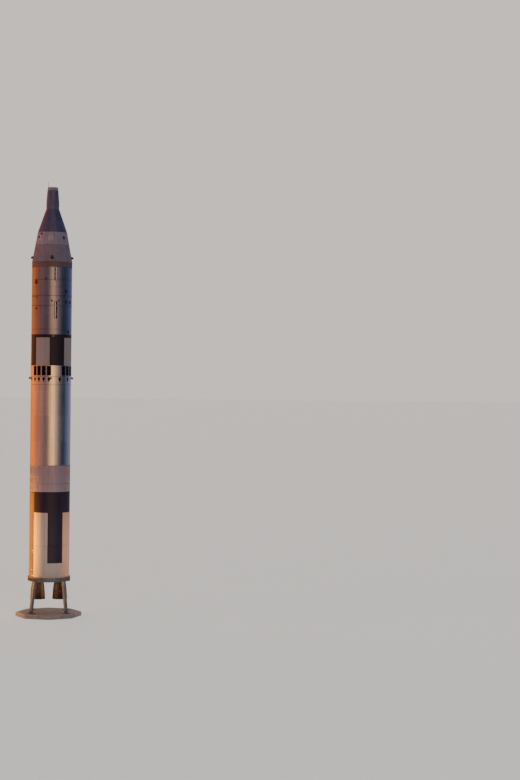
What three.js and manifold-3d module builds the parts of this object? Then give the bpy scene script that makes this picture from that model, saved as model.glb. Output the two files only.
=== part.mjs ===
// Two-stage space rocket with a crew capsule, standing on its steel stand and concrete plinth.
// Millimetres, +Z up. The origin is the centre of the plinth's underside, and -Y is the front.
// A bearing is an angle round the rocket in degrees, from the front towards +X.
import * as THREE from "three";
import { mergeGeometries, mergeVertices } from "three/addons/utils/BufferGeometryUtils.js";
import Module from "manifold-3d";

const wasm = await Module();
wasm.setup();

// Driving dimensions

const BODY_R = 1525; // the barrel of both stages
const SKIN = 60; // skirts and interstage: skin with its frames
const GAP = 0.3; // between pieces that touch
const SIDES = 48; // facets round the barrel
const NOSE_R = 489; // straight nose section of the capsule
const CABIN_R = 1110; // foot of the cabin cone
const CABIN_WALL = 70; // outer shingles, frames and pressure wall

// Heights above the underside of the plinth
const Z = {
  plinthTop: 300,
  ringFoot: 2700,
  tail: 3000,
  bayRoof: 5400,
  fuelOneTop: 9400,
  ribsTop: 11470,
  oxidizerOneTop: 17550,
  forwardSkirtTop: 18170,
  interstageTop: 19000,
  stageTwoSkirtTop: 21330,
  fuelTwoTop: 23500,
  betweenTanksTop: 24260,
  oxidizerTwoTop: 26420,
  forwardRingTop: 26820,
  equipmentTop: 28190,
  retroTop: 29100,
  cabinTop: 30890,
  controlTop: 31350,
  recoveryTop: 32300,
  capTop: 32555,
  rodTip: 32970,
};

const FINISH = {
  // name: [colour, roughness, metalness]
  concrete: [0xb9b5ac, 0.9, 0],
  stand: [0x6e7478, 0.5, 0.4],
  skin: [0xc4c8cc, 0.28, 0.9],
  ribbed: [0xa9adb1, 0.45, 0.8],
  paint: [0xe6e4dd, 0.45, 0],
  ring: [0x3a2c26, 0.6, 0.2],
  adapter: [0xc9c6be, 0.7, 0],
  capsule: [0x22252b, 0.55, 0.3],
  cap: [0x6d6f72, 0.6, 0.2],
  glass: [0x2a3238, 0.08, 0],
  seat: [0x8b8f88, 0.8, 0],
  panel: [0x50565a, 0.6, 0],
  engine: [0x8d8a86, 0.4, 0.8],
  nozzle: [0x5c5650, 0.45, 0.7],
};

// Geometry helpers

const rad = THREE.MathUtils.degToRad;

function place(radius, bearing, z) {
  return new THREE.Vector3(radius * Math.sin(rad(bearing)), -radius * Math.cos(rad(bearing)), z);
}

function toSolid(geometry) {
  const bare = geometry.index ? geometry.toNonIndexed() : geometry.clone();
  bare.deleteAttribute("normal");
  bare.deleteAttribute("uv");
  const welded = mergeVertices(bare, 1e-3);
  const corners = welded.index.array;
  const triangles = [];
  for (let i = 0; i < corners.length; i += 3) {
    const [a, b, c] = corners.subarray(i, i + 3);
    if (a !== b && b !== c && c !== a) triangles.push(a, b, c);
  }
  return new wasm.Manifold(new wasm.Mesh({
    numProp: 3,
    vertProperties: welded.attributes.position.array,
    triVerts: new Uint32Array(triangles),
  }));
}

function toGeometry(solid) {
  const mesh = solid.getMesh();
  const indexed = new THREE.BufferGeometry();
  indexed.setAttribute("position", new THREE.BufferAttribute(mesh.vertProperties, 3));
  indexed.setIndex(new THREE.BufferAttribute(mesh.triVerts, 1));
  const faceted = indexed.toNonIndexed();
  faceted.computeVertexNormals();
  return faceted;
}

const join = (first, ...others) => others.reduce((sum, other) => sum.add(other), first);
const cut = (first, ...others) => others.reduce((rest, other) => rest.subtract(other), first);

function outlineOf(points) {
  return points.map(([radius, z]) => new THREE.Vector2(radius, z));
}

// A full turn of an outline of [radius, z], which runs up the outside. A ring's closes on itself.
function turned(points, sides = SIDES) {
  const onAxis = points[0][0] === 0 && points.at(-1)[0] === 0;
  const outline = outlineOf(onAxis ? points : [...points, points[0]]);
  return toSolid(new THREE.LatheGeometry(outline, sides).rotateX(Math.PI / 2));
}

// Part of a turn between two bearings, with its two end faces.
function sector(points, from, to, sides) {
  const outline = outlineOf([...points, points[0]]);
  const wall = new THREE.LatheGeometry(outline, sides, rad(from), rad(to - from));
  const face = new THREE.ShapeGeometry(new THREE.Shape(outlineOf(points)));
  const startFace = face.clone().rotateY(rad(from - 90));
  const endFace = face.clone().rotateY(rad(to - 90));
  endFace.index.array.reverse();
  return toSolid(mergeGeometries([wall, startFace, endFace]).rotateX(Math.PI / 2));
}

function tube(outer, inner, from, to, sides = SIDES) {
  return turned([[inner, from], [outer, from], [outer, to], [inner, to]], sides);
}

function disc(radius, from, to, sides = SIDES) {
  return turned([[0, from], [radius, from], [radius, to], [0, to]], sides);
}

function block(width, depth, height, centre) {
  return toSolid(new THREE.BoxGeometry(width, depth, height).translate(...centre));
}

function bar(from, to, radius, sides = 12) {
  const start = new THREE.Vector3(...from);
  const along = new THREE.Vector3(...to).sub(start);
  const turn = new THREE.Quaternion().setFromUnitVectors(
    new THREE.Vector3(0, 1, 0), along.clone().normalize());
  const cylinder = new THREE.CylinderGeometry(radius, radius, along.length(), sides);
  return toSolid(cylinder.applyQuaternion(turn).translate(...start.addScaledVector(along, 0.5)));
}

// A plate cut from an outline in the upright plane through the axis at a bearing. Its points
// are [distance from the axis, z].
function radialPlate(points, thickness, bearing) {
  const options = { depth: thickness, bevelEnabled: false };
  const plate = new THREE.ExtrudeGeometry(new THREE.Shape(outlineOf(points)), options);
  plate.translate(0, 0, -thickness / 2).rotateX(Math.PI / 2);
  return toSolid(plate.rotateZ(rad(bearing - 90)));
}

const rocket = new THREE.Group();

function add(name, finish, solid) {
  const [color, roughness, metalness] = FINISH[finish];
  const material = new THREE.MeshStandardMaterial({ color, roughness, metalness });
  const mesh = new THREE.Mesh(toGeometry(solid), material);
  mesh.name = name;
  rocket.add(mesh);
}

// Plinth and stand

const PLINTH_R = 2300;
const PLINTH_SIDES = 8;
const RING_OUT = 1610;
const RING_IN = 1440;
const LEG_WIDTH = 220;
const LEG_TOP_R = 1525;
const LEG_FOOT_R = 1850;
const LEG_BEARINGS = [45, 135, 225, 315];
const FOOT_PLATE = { width: 460, height: 40 };
const RING_FLANGE = { thickness: 45, webR: 1530 };
const GUSSET = { thickness: 24, height: 260 };

add("plinth", "concrete", disc(PLINTH_R / Math.cos(Math.PI / PLINTH_SIDES), 0, Z.plinthTop,
  PLINTH_SIDES));

// The ring is a channel section, open outwards.
const ringTop = Z.tail - GAP;
add("stand_ring", "stand", turned([
  [RING_IN, Z.ringFoot], [RING_OUT, Z.ringFoot], [RING_OUT, Z.ringFoot + RING_FLANGE.thickness],
  [RING_FLANGE.webR, Z.ringFoot + RING_FLANGE.thickness],
  [RING_FLANGE.webR, ringTop - RING_FLANGE.thickness],
  [RING_OUT, ringTop - RING_FLANGE.thickness], [RING_OUT, ringTop], [RING_IN, ringTop],
]));

// A leg leans outwards from the ring to its foot plate, with a gusset on the plate each way.
function standLeg(bearing) {
  const foot = Z.plinthTop + GAP;
  const top = Z.ringFoot - GAP;
  const half = LEG_WIDTH / 2;
  const post = radialPlate([
    [LEG_FOOT_R - half, foot], [LEG_FOOT_R + half, foot],
    [LEG_TOP_R + half, top], [LEG_TOP_R - half, top],
  ], LEG_WIDTH, bearing);
  const { width, height } = FOOT_PLATE;
  const inner = LEG_FOOT_R - width / 2;
  const outer = LEG_FOOT_R + width / 2;
  const plate = radialPlate([
    [inner, foot], [outer, foot], [outer, foot + height], [inner, foot + height],
  ], width, bearing);
  const gussets = radialPlate([
    [inner, foot + height / 2], [outer, foot + height / 2], [outer, foot + height],
    [LEG_FOOT_R + half / 2, foot + GUSSET.height], [LEG_FOOT_R - half, foot + GUSSET.height],
    [inner, foot + height],
  ], GUSSET.thickness, bearing);
  return join(post, plate, gussets);
}
LEG_BEARINGS.forEach((bearing, i) => add(`stand_leg_${i + 1}`, "stand", standLeg(bearing)));

// First stage

const DOME_RISE = 520; // of the tank ends inside the skirts
const BLAST_DOME_RISE = 910; // of the end that takes the second stage's flame, high and shielded
const DOME_FLAT = 450; // radius of the flat middle of a tank end
const DOME_STEPS = 4;

// Points of a tank end from its flat middle out to the barrel, curved like a quarter ellipse.
function domePoints(rimZ, middleZ) {
  const points = [];
  const reach = BODY_R - SKIN - 5;
  const start = Math.asin(DOME_FLAT / reach);
  for (let i = 0; i <= DOME_STEPS; i += 1) {
    const angle = start + (Math.PI / 2 - start) * (i / DOME_STEPS);
    const share = Math.cos(angle) / Math.cos(start);
    points.push([reach * Math.sin(angle), rimZ + (middleZ - rimZ) * share]);
  }
  return points;
}

add("aft_skirt", "paint", tube(BODY_R, BODY_R - SKIN, Z.tail, Z.bayRoof));

add("stage1_fuel_tank", "paint", turned([
  [0, Z.bayRoof - DOME_RISE], ...domePoints(Z.bayRoof + GAP, Z.bayRoof - DOME_RISE),
  [BODY_R, Z.bayRoof + GAP], [BODY_R, Z.fuelOneTop], [0, Z.fuelOneTop],
]));

// The section between the tanks has stringers all round.
const STRINGERS = 72;
const STRINGER_HEIGHT = 16;
const STRINGER_SHARE = 0.42; // of the pitch

function stringerOutline() {
  const points = [];
  const foot = BODY_R - STRINGER_HEIGHT;
  for (let i = 0; i < STRINGERS; i += 1) {
    const from = (i * 360) / STRINGERS;
    const to = from + (360 / STRINGERS) * STRINGER_SHARE;
    const corners = [[foot, from], [BODY_R, from], [BODY_R, to], [foot, to]];
    for (const [radius, bearing] of corners) {
      const corner = place(radius, bearing, 0);
      points.push(new THREE.Vector2(corner.x, corner.y));
    }
  }
  return new THREE.Shape(points);
}
const ribDepth = Z.ribsTop - Z.fuelOneTop - GAP;
add("stage1_between_tanks", "ribbed", toSolid(new THREE.ExtrudeGeometry(
  stringerOutline(), { depth: ribDepth, bevelEnabled: false },
).translate(0, 0, Z.fuelOneTop + GAP)));

add("stage1_oxidizer_tank", "skin", turned([
  [0, Z.ribsTop + GAP], [BODY_R, Z.ribsTop + GAP], [BODY_R, Z.oxidizerOneTop],
  ...domePoints(Z.oxidizerOneTop, Z.oxidizerOneTop + BLAST_DOME_RISE).reverse(),
  [0, Z.oxidizerOneTop + BLAST_DOME_RISE],
]));

// Lugs for the stays: a short thick plate with an eye near its tip

const LUG = { thickness: 50, eye: 28, eyeIn: 58, reach: 150, root: 40, below: 75, above: 115,
  tipHalf: 50, sink: 30 };

function lug(bodyRadius, z, bearing) {
  const foot = bodyRadius - LUG.sink;
  const tip = bodyRadius + LUG.reach;
  const plate = radialPlate([
    [foot, z - LUG.below], [tip - LUG.root, z - LUG.below], [tip, z - LUG.tipHalf],
    [tip, z + LUG.tipHalf], [bodyRadius + LUG.root, z + LUG.above], [foot, z + LUG.above],
  ], LUG.thickness, bearing);
  const side = place(LUG.thickness, bearing + 90, 0);
  const eyeAt = place(tip - LUG.eyeIn, bearing, z);
  const from = eyeAt.clone().sub(side);
  const to = eyeAt.clone().add(side);
  return cut(plate, bar(from, to, LUG.eye));
}

// Teardrop holes of the forward skirt: bearings on the front half, repeated on the back
const TEARDROP_BEARINGS = [-70.8, -51.9, -36.9, -21.2, -5.7, 25, 55];
const TEARDROP = { radius: 100, drop: 240, z: 18000 };
const STAY_BEARINGS = [0, 90, 180, 270];
const LOWER_LUG_Z = 18045;
const UPPER_LUG_Z = 27180;

function teardropCutter(bearing) {
  const { radius, drop, z } = TEARDROP;
  const touch = Math.acos(radius / drop);
  const shape = new THREE.Shape();
  shape.moveTo(0, -drop);
  shape.absarc(0, 0, radius, -Math.PI / 2 + touch, (3 * Math.PI) / 2 - touch, false);
  shape.closePath();
  const options = { depth: 4 * SKIN, bevelEnabled: false, curveSegments: 4 };
  const cutter = new THREE.ExtrudeGeometry(shape, options).rotateX(Math.PI / 2);
  cutter.translate(0, 2 * SKIN - BODY_R, z).rotateZ(rad(bearing));
  return toSolid(cutter);
}

const holeBearings = TEARDROP_BEARINGS.flatMap((bearing) => [bearing, bearing + 180]);
const skirtTube = tube(BODY_R, BODY_R - SKIN, Z.oxidizerOneTop + GAP, Z.forwardSkirtTop);
const lowerLugs = STAY_BEARINGS.map((bearing) => lug(BODY_R, LOWER_LUG_Z, bearing));
add("stage1_forward_skirt", "skin",
  join(cut(skirtTube, ...holeBearings.map(teardropCutter)), ...lowerLugs));

// Interstage with blast slots in four groups. Deep frames round the slots carry its load.

const SLOT = { groups: 4, each: 4, first: -29, pitch: 15.4, width: 295, foot: 18250, top: 18950 };
const SLOT_FRAME = { thickness: 14, innerR: 1150, sink: 25 };

function slotBearings() {
  const bearings = [];
  for (let group = 0; group < SLOT.groups; group += 1) {
    const middle = SLOT.first + group * 90;
    for (let i = 0; i < SLOT.each; i += 1) {
      bearings.push(middle + (i - (SLOT.each - 1) / 2) * SLOT.pitch);
    }
  }
  return bearings;
}

// A block through the wall at a slot, grown all round, from one depth of the wall to another
function slotBlock(bearing, grown, innerR, outerR) {
  const height = SLOT.top - SLOT.foot + 2 * grown;
  const size = [SLOT.width + 2 * grown, outerR - innerR, height];
  const piece = new THREE.BoxGeometry(...size);
  piece.translate(0, -(innerR + outerR) / 2, (SLOT.top + SLOT.foot) / 2).rotateZ(rad(bearing));
  return toSolid(piece);
}
const wallInnerR = BODY_R - SKIN;
const slotFrames = slotBearings().map((bearing) => (
  slotBlock(bearing, SLOT_FRAME.thickness, SLOT_FRAME.innerR, wallInnerR + SLOT_FRAME.sink)));
const slotCutters = slotBearings().map((bearing) => (
  slotBlock(bearing, 0, SLOT_FRAME.innerR - SKIN, BODY_R + SKIN)));
const interstageTube = tube(BODY_R, wallInnerR, Z.forwardSkirtTop + GAP, Z.interstageTop);
add("interstage", "skin", cut(join(interstageTube, ...slotFrames), ...slotCutters));

// Second stage

const STAGE_TWO_DOME = 350;
const stageTwoDomeZ = Z.stageTwoSkirtTop - STAGE_TWO_DOME;

add("stage2_aft_skirt", "paint",
  tube(BODY_R, BODY_R - SKIN, Z.interstageTop + GAP, Z.stageTwoSkirtTop));
add("stage2_fuel_tank", "skin", turned([
  [0, stageTwoDomeZ], ...domePoints(Z.stageTwoSkirtTop + GAP, stageTwoDomeZ),
  [BODY_R, Z.stageTwoSkirtTop + GAP], [BODY_R, Z.fuelTwoTop], [0, Z.fuelTwoTop],
]));
add("stage2_between_tanks", "skin", disc(BODY_R, Z.fuelTwoTop + GAP, Z.betweenTanksTop));
add("stage2_oxidizer_tank", "skin", disc(BODY_R, Z.betweenTanksTop + GAP, Z.oxidizerTwoTop));
add("forward_ring", "ring", disc(BODY_R, Z.oxidizerTwoTop + GAP, Z.forwardRingTop));

// Cable fairings on the second stage's skin
const FAIRING = { width: 245, height: 95, bearing: 11, taper: 90, edge: 15, sink: 20 };
const FAIRINGS = [
  // [name, foot, top]
  ["stage2_lower_fairing", 22530, 23830],
  ["stage2_upper_fairing", 25390, 26400],
];
const bodyWithGap = disc(BODY_R + GAP, Z.stageTwoSkirtTop, Z.forwardRingTop);
for (const [name, foot, top] of FAIRINGS) {
  const tip = BODY_R + FAIRING.height;
  const cover = radialPlate([
    [BODY_R - FAIRING.sink, foot], [BODY_R + FAIRING.edge, foot], [tip, foot + FAIRING.taper],
    [tip, top - FAIRING.taper], [BODY_R + FAIRING.edge, top], [BODY_R - FAIRING.sink, top],
  ], FAIRING.width, FAIRING.bearing);
  add(name, "skin", cut(cover, bodyWithGap));
}

// Adapter between the rocket and the capsule, one straight taper in two sections

const adapterSlope = (BODY_R - CABIN_R) / (Z.retroTop - Z.forwardRingTop);
const adapterRadius = (z) => BODY_R - (z - Z.forwardRingTop) * adapterSlope;

function adapterSection(from, to) {
  return turned([[0, from], [adapterRadius(from), from], [adapterRadius(to), to], [0, to]]);
}
const upperLugs = STAY_BEARINGS.map((bearing) => (
  lug(adapterRadius(UPPER_LUG_Z), UPPER_LUG_Z, bearing)));
add("equipment_adapter", "adapter",
  join(adapterSection(Z.forwardRingTop + GAP, Z.equipmentTop), ...upperLugs));
add("retro_adapter", "adapter", adapterSection(Z.equipmentTop + GAP, Z.retroTop));

// Crew cabin: a hollow cone with two hatches on the back

const cabinSlope = (CABIN_R - NOSE_R) / (Z.cabinTop - Z.retroTop);
const lean = Math.atan(cabinSlope);
const cabinRadius = (z) => CABIN_R - (z - Z.retroTop) * cabinSlope;
const FLOOR = 150; // heat shield and aft pressure wall
const ROOF = 60;
const HATCH = { foot: 29330, top: 30560, inner: 5, outer: 57, clear: 9, hingeOut: 26 };
const WINDOW = { z: 30120, bearing: 29, width: 250, height: 330, clear: 1.5, paneFrom: 20,
  paneTo: 44 };
const THROUGH = 120; // how far a cutter reaches past a wall's outer face, each way
const HATCH_SIDES = [["left", 1], ["right", -1]]; // [name, side]: left is at -X

// Corners of the wall between two heights, its ends square to the wall.
function wallOutline(from, to, depthFrom, depthTo) {
  const across = [-Math.cos(lean), -Math.sin(lean)];
  const corner = (z, depth) => [cabinRadius(z) + across[0] * depth, z + across[1] * depth];
  return [corner(from, depthTo), corner(from, depthFrom), corner(to, depthFrom),
    corner(to, depthTo)];
}

// Bearings of a hatch's two edges, both on the back of the capsule
function hatchBearings(side, shrink) {
  const edges = [180 + side * HATCH.inner, 180 + side * HATCH.outer].sort((a, b) => a - b);
  return [edges[0] + shrink, edges[1] - shrink];
}

// A cutter through the hatch wall for the window, or the pane that fills it
function windowPlug(side, shrink, depthFrom, depthTo) {
  const bearing = 180 + side * WINDOW.bearing;
  const size = [WINDOW.width - 2 * shrink, depthTo - depthFrom, WINDOW.height - 2 * shrink];
  const plug = new THREE.BoxGeometry(...size).translate(0, (depthFrom + depthTo) / 2, 0);
  plug.rotateX(-lean).translate(0, -cabinRadius(WINDOW.z), WINDOW.z).rotateZ(rad(bearing));
  return toSolid(plug);
}

function hingePoint(side, z) {
  const out = [HATCH.hingeOut * Math.cos(lean), HATCH.hingeOut * Math.sin(lean)];
  return place(cabinRadius(z) + out[0], 180 + side * HATCH.outer, z + out[1]);
}

const HINGE = { radius: 16, leaf: 60, thick: 34, knuckle: 90, clear: 6, sink: 20 };
const HINGE_HEIGHTS = [29500, 30350];

// One knuckle on the hinge line with the leaf that carries it. towards is +1 on the hatch's
// side of the line and -1 on the cabin's.
function knuckle(side, z, shift, towards) {
  const axis = hingePoint(side, z + 100).sub(hingePoint(side, z)).normalize();
  const middle = hingePoint(side, z).addScaledVector(axis, shift);
  const half = axis.clone().multiplyScalar(HINGE.knuckle / 2);
  const barrel = bar(middle.clone().sub(half), middle.clone().add(half), HINGE.radius);
  const outwards = place(Math.cos(lean), 180 + side * HATCH.outer, Math.sin(lean));
  const across = new THREE.Vector3().crossVectors(outwards, axis);
  const sense = side * towards;
  const turn = new THREE.Matrix4().makeBasis(across, outwards, axis);
  const leaf = new THREE.BoxGeometry(HINGE.leaf, HINGE.thick, HINGE.knuckle);
  leaf.translate(sense * (HINGE.clear + HINGE.leaf / 2), -HINGE.sink, 0);
  leaf.applyMatrix4(turn).translate(...middle);
  return join(barrel, toSolid(leaf));
}

const hollow = turned([
  [0, Z.retroTop + FLOOR], [cabinRadius(Z.retroTop + FLOOR) - CABIN_WALL / Math.cos(lean),
    Z.retroTop + FLOOR],
  [cabinRadius(Z.cabinTop - ROOF) - CABIN_WALL / Math.cos(lean), Z.cabinTop - ROOF],
  [0, Z.cabinTop - ROOF],
]);
const cone = turned([
  [0, Z.retroTop + GAP], [cabinRadius(Z.retroTop + GAP), Z.retroTop + GAP],
  [NOSE_R, Z.cabinTop], [0, Z.cabinTop],
]);
const hatchSteps = 8;
let cabin = cut(cone, hollow);
for (const [name, side] of HATCH_SIDES) {
  const [from, to] = hatchBearings(side, 0);
  const opening = wallOutline(HATCH.foot, HATCH.top, -THROUGH / 2, THROUGH + 10);
  cabin = cut(cabin, sector(opening, from, to, hatchSteps));
  const clearAngle = THREE.MathUtils.radToDeg(HATCH.clear / cabinRadius(HATCH.top));
  const door = sector(
    wallOutline(HATCH.foot + HATCH.clear, HATCH.top - HATCH.clear, 0, CABIN_WALL),
    ...hatchBearings(side, clearAngle), hatchSteps);
  const shift = HINGE.knuckle / 2 + HINGE.clear / 2;
  const doorKnuckles = HINGE_HEIGHTS.map((z) => knuckle(side, z, shift, 1));
  const cabinKnuckles = HINGE_HEIGHTS.map((z) => knuckle(side, z, -shift, -1));
  cabin = join(cabin, ...cabinKnuckles);
  add(`hatch_${name}`, "capsule", cut(join(door, ...doorKnuckles),
    windowPlug(side, 0, -THROUGH, THROUGH)));
  add(`hatch_glass_${name}`, "glass",
    windowPlug(side, WINDOW.clear, WINDOW.paneFrom, WINDOW.paneTo));
}
add("cabin_shell", "capsule", cabin);

// Seats lie on their backs, heads towards the hatches, and the panel stands between them.
const SEAT = { width: 480, x: 340, thick: 110, head: 620, hip: -330, pan: 430, rise: 40,
  rake: 30 };
const floorZ = Z.retroTop + FLOOR + GAP;

function seat(x) {
  const profile = new THREE.Shape();
  profile.moveTo(SEAT.head, floorZ);
  profile.lineTo(SEAT.head, floorZ + SEAT.thick);
  profile.lineTo(SEAT.hip + SEAT.thick, floorZ + SEAT.thick + SEAT.rise);
  profile.lineTo(SEAT.hip + SEAT.thick - SEAT.rake, floorZ + SEAT.pan);
  profile.lineTo(SEAT.hip - SEAT.rake, floorZ + SEAT.pan);
  profile.lineTo(SEAT.hip, floorZ);
  profile.closePath();
  const options = { depth: SEAT.width, bevelEnabled: false };
  const solid = new THREE.ExtrudeGeometry(profile, options);
  solid.rotateX(Math.PI / 2).rotateZ(Math.PI / 2);
  return toSolid(solid.translate(x - SEAT.width / 2, 0, 0));
}
add("seat_left", "seat", seat(-SEAT.x));
add("seat_right", "seat", seat(SEAT.x));

const PANEL = { width: 860, depth: 340, thick: 60, z: 30080, y: -260, pedestal: 150 };
add("instrument_panel", "panel", join(
  block(PANEL.width, PANEL.depth, PANEL.thick, [0, PANEL.y, PANEL.z]),
  block(PANEL.pedestal, PANEL.depth, PANEL.z - floorZ, [0, PANEL.y, (PANEL.z + floorZ) / 2])));

// Nose of the capsule

const CAP_R = 405;
const CAP_EDGE = { across: 50, down: 60 };
const RECOVERY_TOP_R = 420;
const ROD = { x: -325, y: -60, radius: 14, sink: 20 };

add("control_section", "capsule", disc(NOSE_R, Z.cabinTop + GAP, Z.controlTop));
add("recovery_section", "capsule", turned([
  [0, Z.controlTop + GAP], [NOSE_R, Z.controlTop + GAP],
  [RECOVERY_TOP_R, Z.recoveryTop], [0, Z.recoveryTop],
]));
add("nose_cap", "cap", join(
  turned([
    [0, Z.recoveryTop + GAP], [CAP_R, Z.recoveryTop + GAP], [CAP_R, Z.capTop - CAP_EDGE.down],
    [CAP_R - CAP_EDGE.across, Z.capTop], [0, Z.capTop],
  ]),
  bar([ROD.x, ROD.y, Z.capTop - ROD.sink], [ROD.x, ROD.y, Z.rodTip], ROD.radius)));

// Gimballed engines

// A thrust chamber hangs from a cross of two pins. Its own outline is [distance below the
// pins, radius], and the wall is added inside from the throat down.
const GIMBAL = { block: 130, pin: 34, hole: 39, earFrom: 95, earTo: 135, earHalf: 58, reach: 150,
  earPast: 55, earFoot: 240, coreClear: 12, coreHeight: 88, blockX: 300, blockY: 260 };
const ARM = { reach: 450, eyeHole: 28, pin: 20, eye: 52, eyeHalf: 15, cheekFrom: 26, cheekTo: 42,
  knee: 90, kneeDrop: 70, root: 120, rootDrop: 290, tube: 34, cheek: [190, 70], cheekIn: 60,
  cheekDrop: 5, head: [90, 80], headIn: 20, headDrop: 10 };
const ACTUATOR = { barrel: 62, bore: 28, rod: 22, foot: 180, rodFoot: 40, rodTop: 345,
  boreTop: 395 };
const NOZZLE_SIDES = 24;
const BELL = { wall: 35, mouthWall: 53, bandHalf: 20, bandRise: 15, bandSink: 6 };

const ENGINES = {
  // outline: [distance below the pins, outer radius]; bands: distances of the stiffening bands
  first: {
    pivotZ: 4300,
    outline: [[200, 150], [230, 240], [330, 265], [640, 265], [900, 190], [1060, 245],
      [1350, 350], [1800, 452], [2350, 520], [2960, 556], [2960, 580], [3000, 580]],
    bands: [1200, 1550, 1950, 2400],
  },
  second: {
    pivotZ: 20600,
    outline: [[200, 150], [230, 230], [520, 240], [760, 170], [900, 250], [1150, 420],
      [1500, 590], [1820, 700], [2060, 755], [2060, 775], [2100, 775]],
    bands: [1650],
  },
};

function crossOfPins(x, z) {
  const { reach, pin, earFrom, coreClear, coreHeight } = GIMBAL;
  const core = 2 * (earFrom - coreClear);
  return join(
    block(core, core, coreHeight, [x, 0, z]),
    bar([x - reach, 0, z], [x + reach, 0, z], pin),
    bar([x, -reach, z], [x, reach, z], pin));
}

// Two ears that hold the pins along X (alongX) or along Y, between two heights
function ears(x, z, from, to, alongX) {
  const { earFrom, earTo, earHalf, hole, reach } = GIMBAL;
  const thick = earTo - earFrom;
  const middle = (earTo + earFrom) / 2;
  const size = alongX ? [thick, 2 * earHalf] : [2 * earHalf, thick];
  const ear = (sign) => block(...size, to - from,
    [x + (alongX ? sign * middle : 0), alongX ? 0 : sign * middle, (from + to) / 2]);
  const end = alongX ? [reach + 20, 0] : [0, reach + 20];
  const bore = bar([x - end[0], -end[1], z], [x + end[0], end[1], z], hole);
  return [ear(1), ear(-1)].map((plate) => cut(plate, bore));
}

// The bell's outer radius at a distance below the pins
function bellRadius(outline, below) {
  const next = outline.findIndex(([depth]) => depth >= below);
  const [[fromBelow, fromRadius], [toBelow, toRadius]] = [outline[next - 1], outline[next]];
  return fromRadius + (toRadius - fromRadius) * ((below - fromBelow) / (toBelow - fromBelow));
}

function chamber(x, engine) {
  const { pivotZ, outline, bands } = engine;
  const outside = outline.map(([below, radius]) => [radius, pivotZ - below]).reverse();
  const throat = outline.findIndex(([, radius], i) => i > 2 && radius < outline[i + 1][1]);
  const inside = outline.slice(throat, -2).map(([below, radius]) => (
    [radius - BELL.wall, pivotZ - below]));
  const [mouthBelow, mouthRadius] = outline.at(-1);
  const shell = turned([
    [0, pivotZ - outline[throat][0]], ...inside,
    [mouthRadius - BELL.mouthWall, pivotZ - mouthBelow], ...outside,
    [0, pivotZ - outline[0][0]],
  ], NOZZLE_SIDES);
  const rings = bands.map((below) => {
    const outer = bellRadius(outline, below + BELL.bandHalf) + BELL.bandRise;
    const inner = bellRadius(outline, below - BELL.bandHalf) - BELL.bandSink;
    const z = pivotZ - below;
    return tube(outer, inner, z - BELL.bandHalf, z + BELL.bandHalf, NOZZLE_SIDES);
  });
  return join(shell, ...rings).translate(x, 0, 0);
}

// The arm from the dome out to an actuator's eye, which lies level with the pins. direction is
// its unit vector, [dx, dy].
function arm(x, z, [dx, dy]) {
  const end = [x + dx * ARM.reach, dy * ARM.reach, z];
  const kneeReach = ARM.reach - ARM.knee;
  const knee = [x + dx * kneeReach, dy * kneeReach, z - ARM.kneeDrop];
  const side = [Math.abs(dy), Math.abs(dx)];
  const across = (distance) => [end[0] + side[0] * distance, end[1] + side[1] * distance, z];
  const middle = (ARM.cheekFrom + ARM.cheekTo) / 2;
  const cheek = (sign) => {
    const [cx, cy] = across(sign * middle);
    const thick = ARM.cheekTo - ARM.cheekFrom;
    const [length, height] = ARM.cheek;
    return block(dx ? length : thick, dy ? length : thick, height,
      [cx - dx * ARM.cheekIn, cy - dy * ARM.cheekIn, z - ARM.cheekDrop]);
  };
  const [headLength, headHeight] = ARM.head;
  return join(
    bar([x + dx * ARM.root, dy * ARM.root, z - ARM.rootDrop], knee, ARM.tube),
    block(dx ? headLength : 2 * ARM.cheekTo, dy ? headLength : 2 * ARM.cheekTo, headHeight,
      [knee[0] - dx * ARM.headIn, knee[1] - dy * ARM.headIn, z - ARM.headDrop]),
    cheek(1), cheek(-1),
    bar(across(-ARM.cheekTo), across(ARM.cheekTo), ARM.pin));
}

function actuatorRod(x, z, [dx, dy]) {
  const end = [x + dx * ARM.reach, dy * ARM.reach];
  const side = [Math.abs(dy) * ARM.eyeHalf, Math.abs(dx) * ARM.eyeHalf];
  const far = [side[0] * 4, side[1] * 4];
  const span = (offset, radius) => bar([end[0] - offset[0], end[1] - offset[1], z],
    [end[0] + offset[0], end[1] + offset[1], z], radius, 16);
  return cut(
    join(span(side, ARM.eye),
      bar([...end, z + ACTUATOR.rodFoot], [...end, z + ACTUATOR.rodTop], ACTUATOR.rod)),
    span(far, ARM.eyeHole));
}

function actuatorBarrel(x, z, [dx, dy], top) {
  const end = [x + dx * ARM.reach, dy * ARM.reach];
  return cut(
    bar([...end, z + ACTUATOR.foot], [...end, top], ACTUATOR.barrel),
    bar([...end, z + ACTUATOR.foot - 20], [...end, z + ACTUATOR.boreTop], ACTUATOR.bore));
}

// First-stage engines: two chambers side by side under an H-shaped frame

const CHAMBER_X = 830;
const BEAM = { width: 130, foot: 4700, top: 4840, sink: 20 };
const FRAME_RING = { inner: 1370, foot: 4680, top: 4860 };
const CHAMBERS = [
  // [name, x, direction of the arm that swings it sideways]
  ["left", -CHAMBER_X, [1, 0]],
  ["right", CHAMBER_X, [-1, 0]],
];
const FRONT_ARM = [0, -1];

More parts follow.
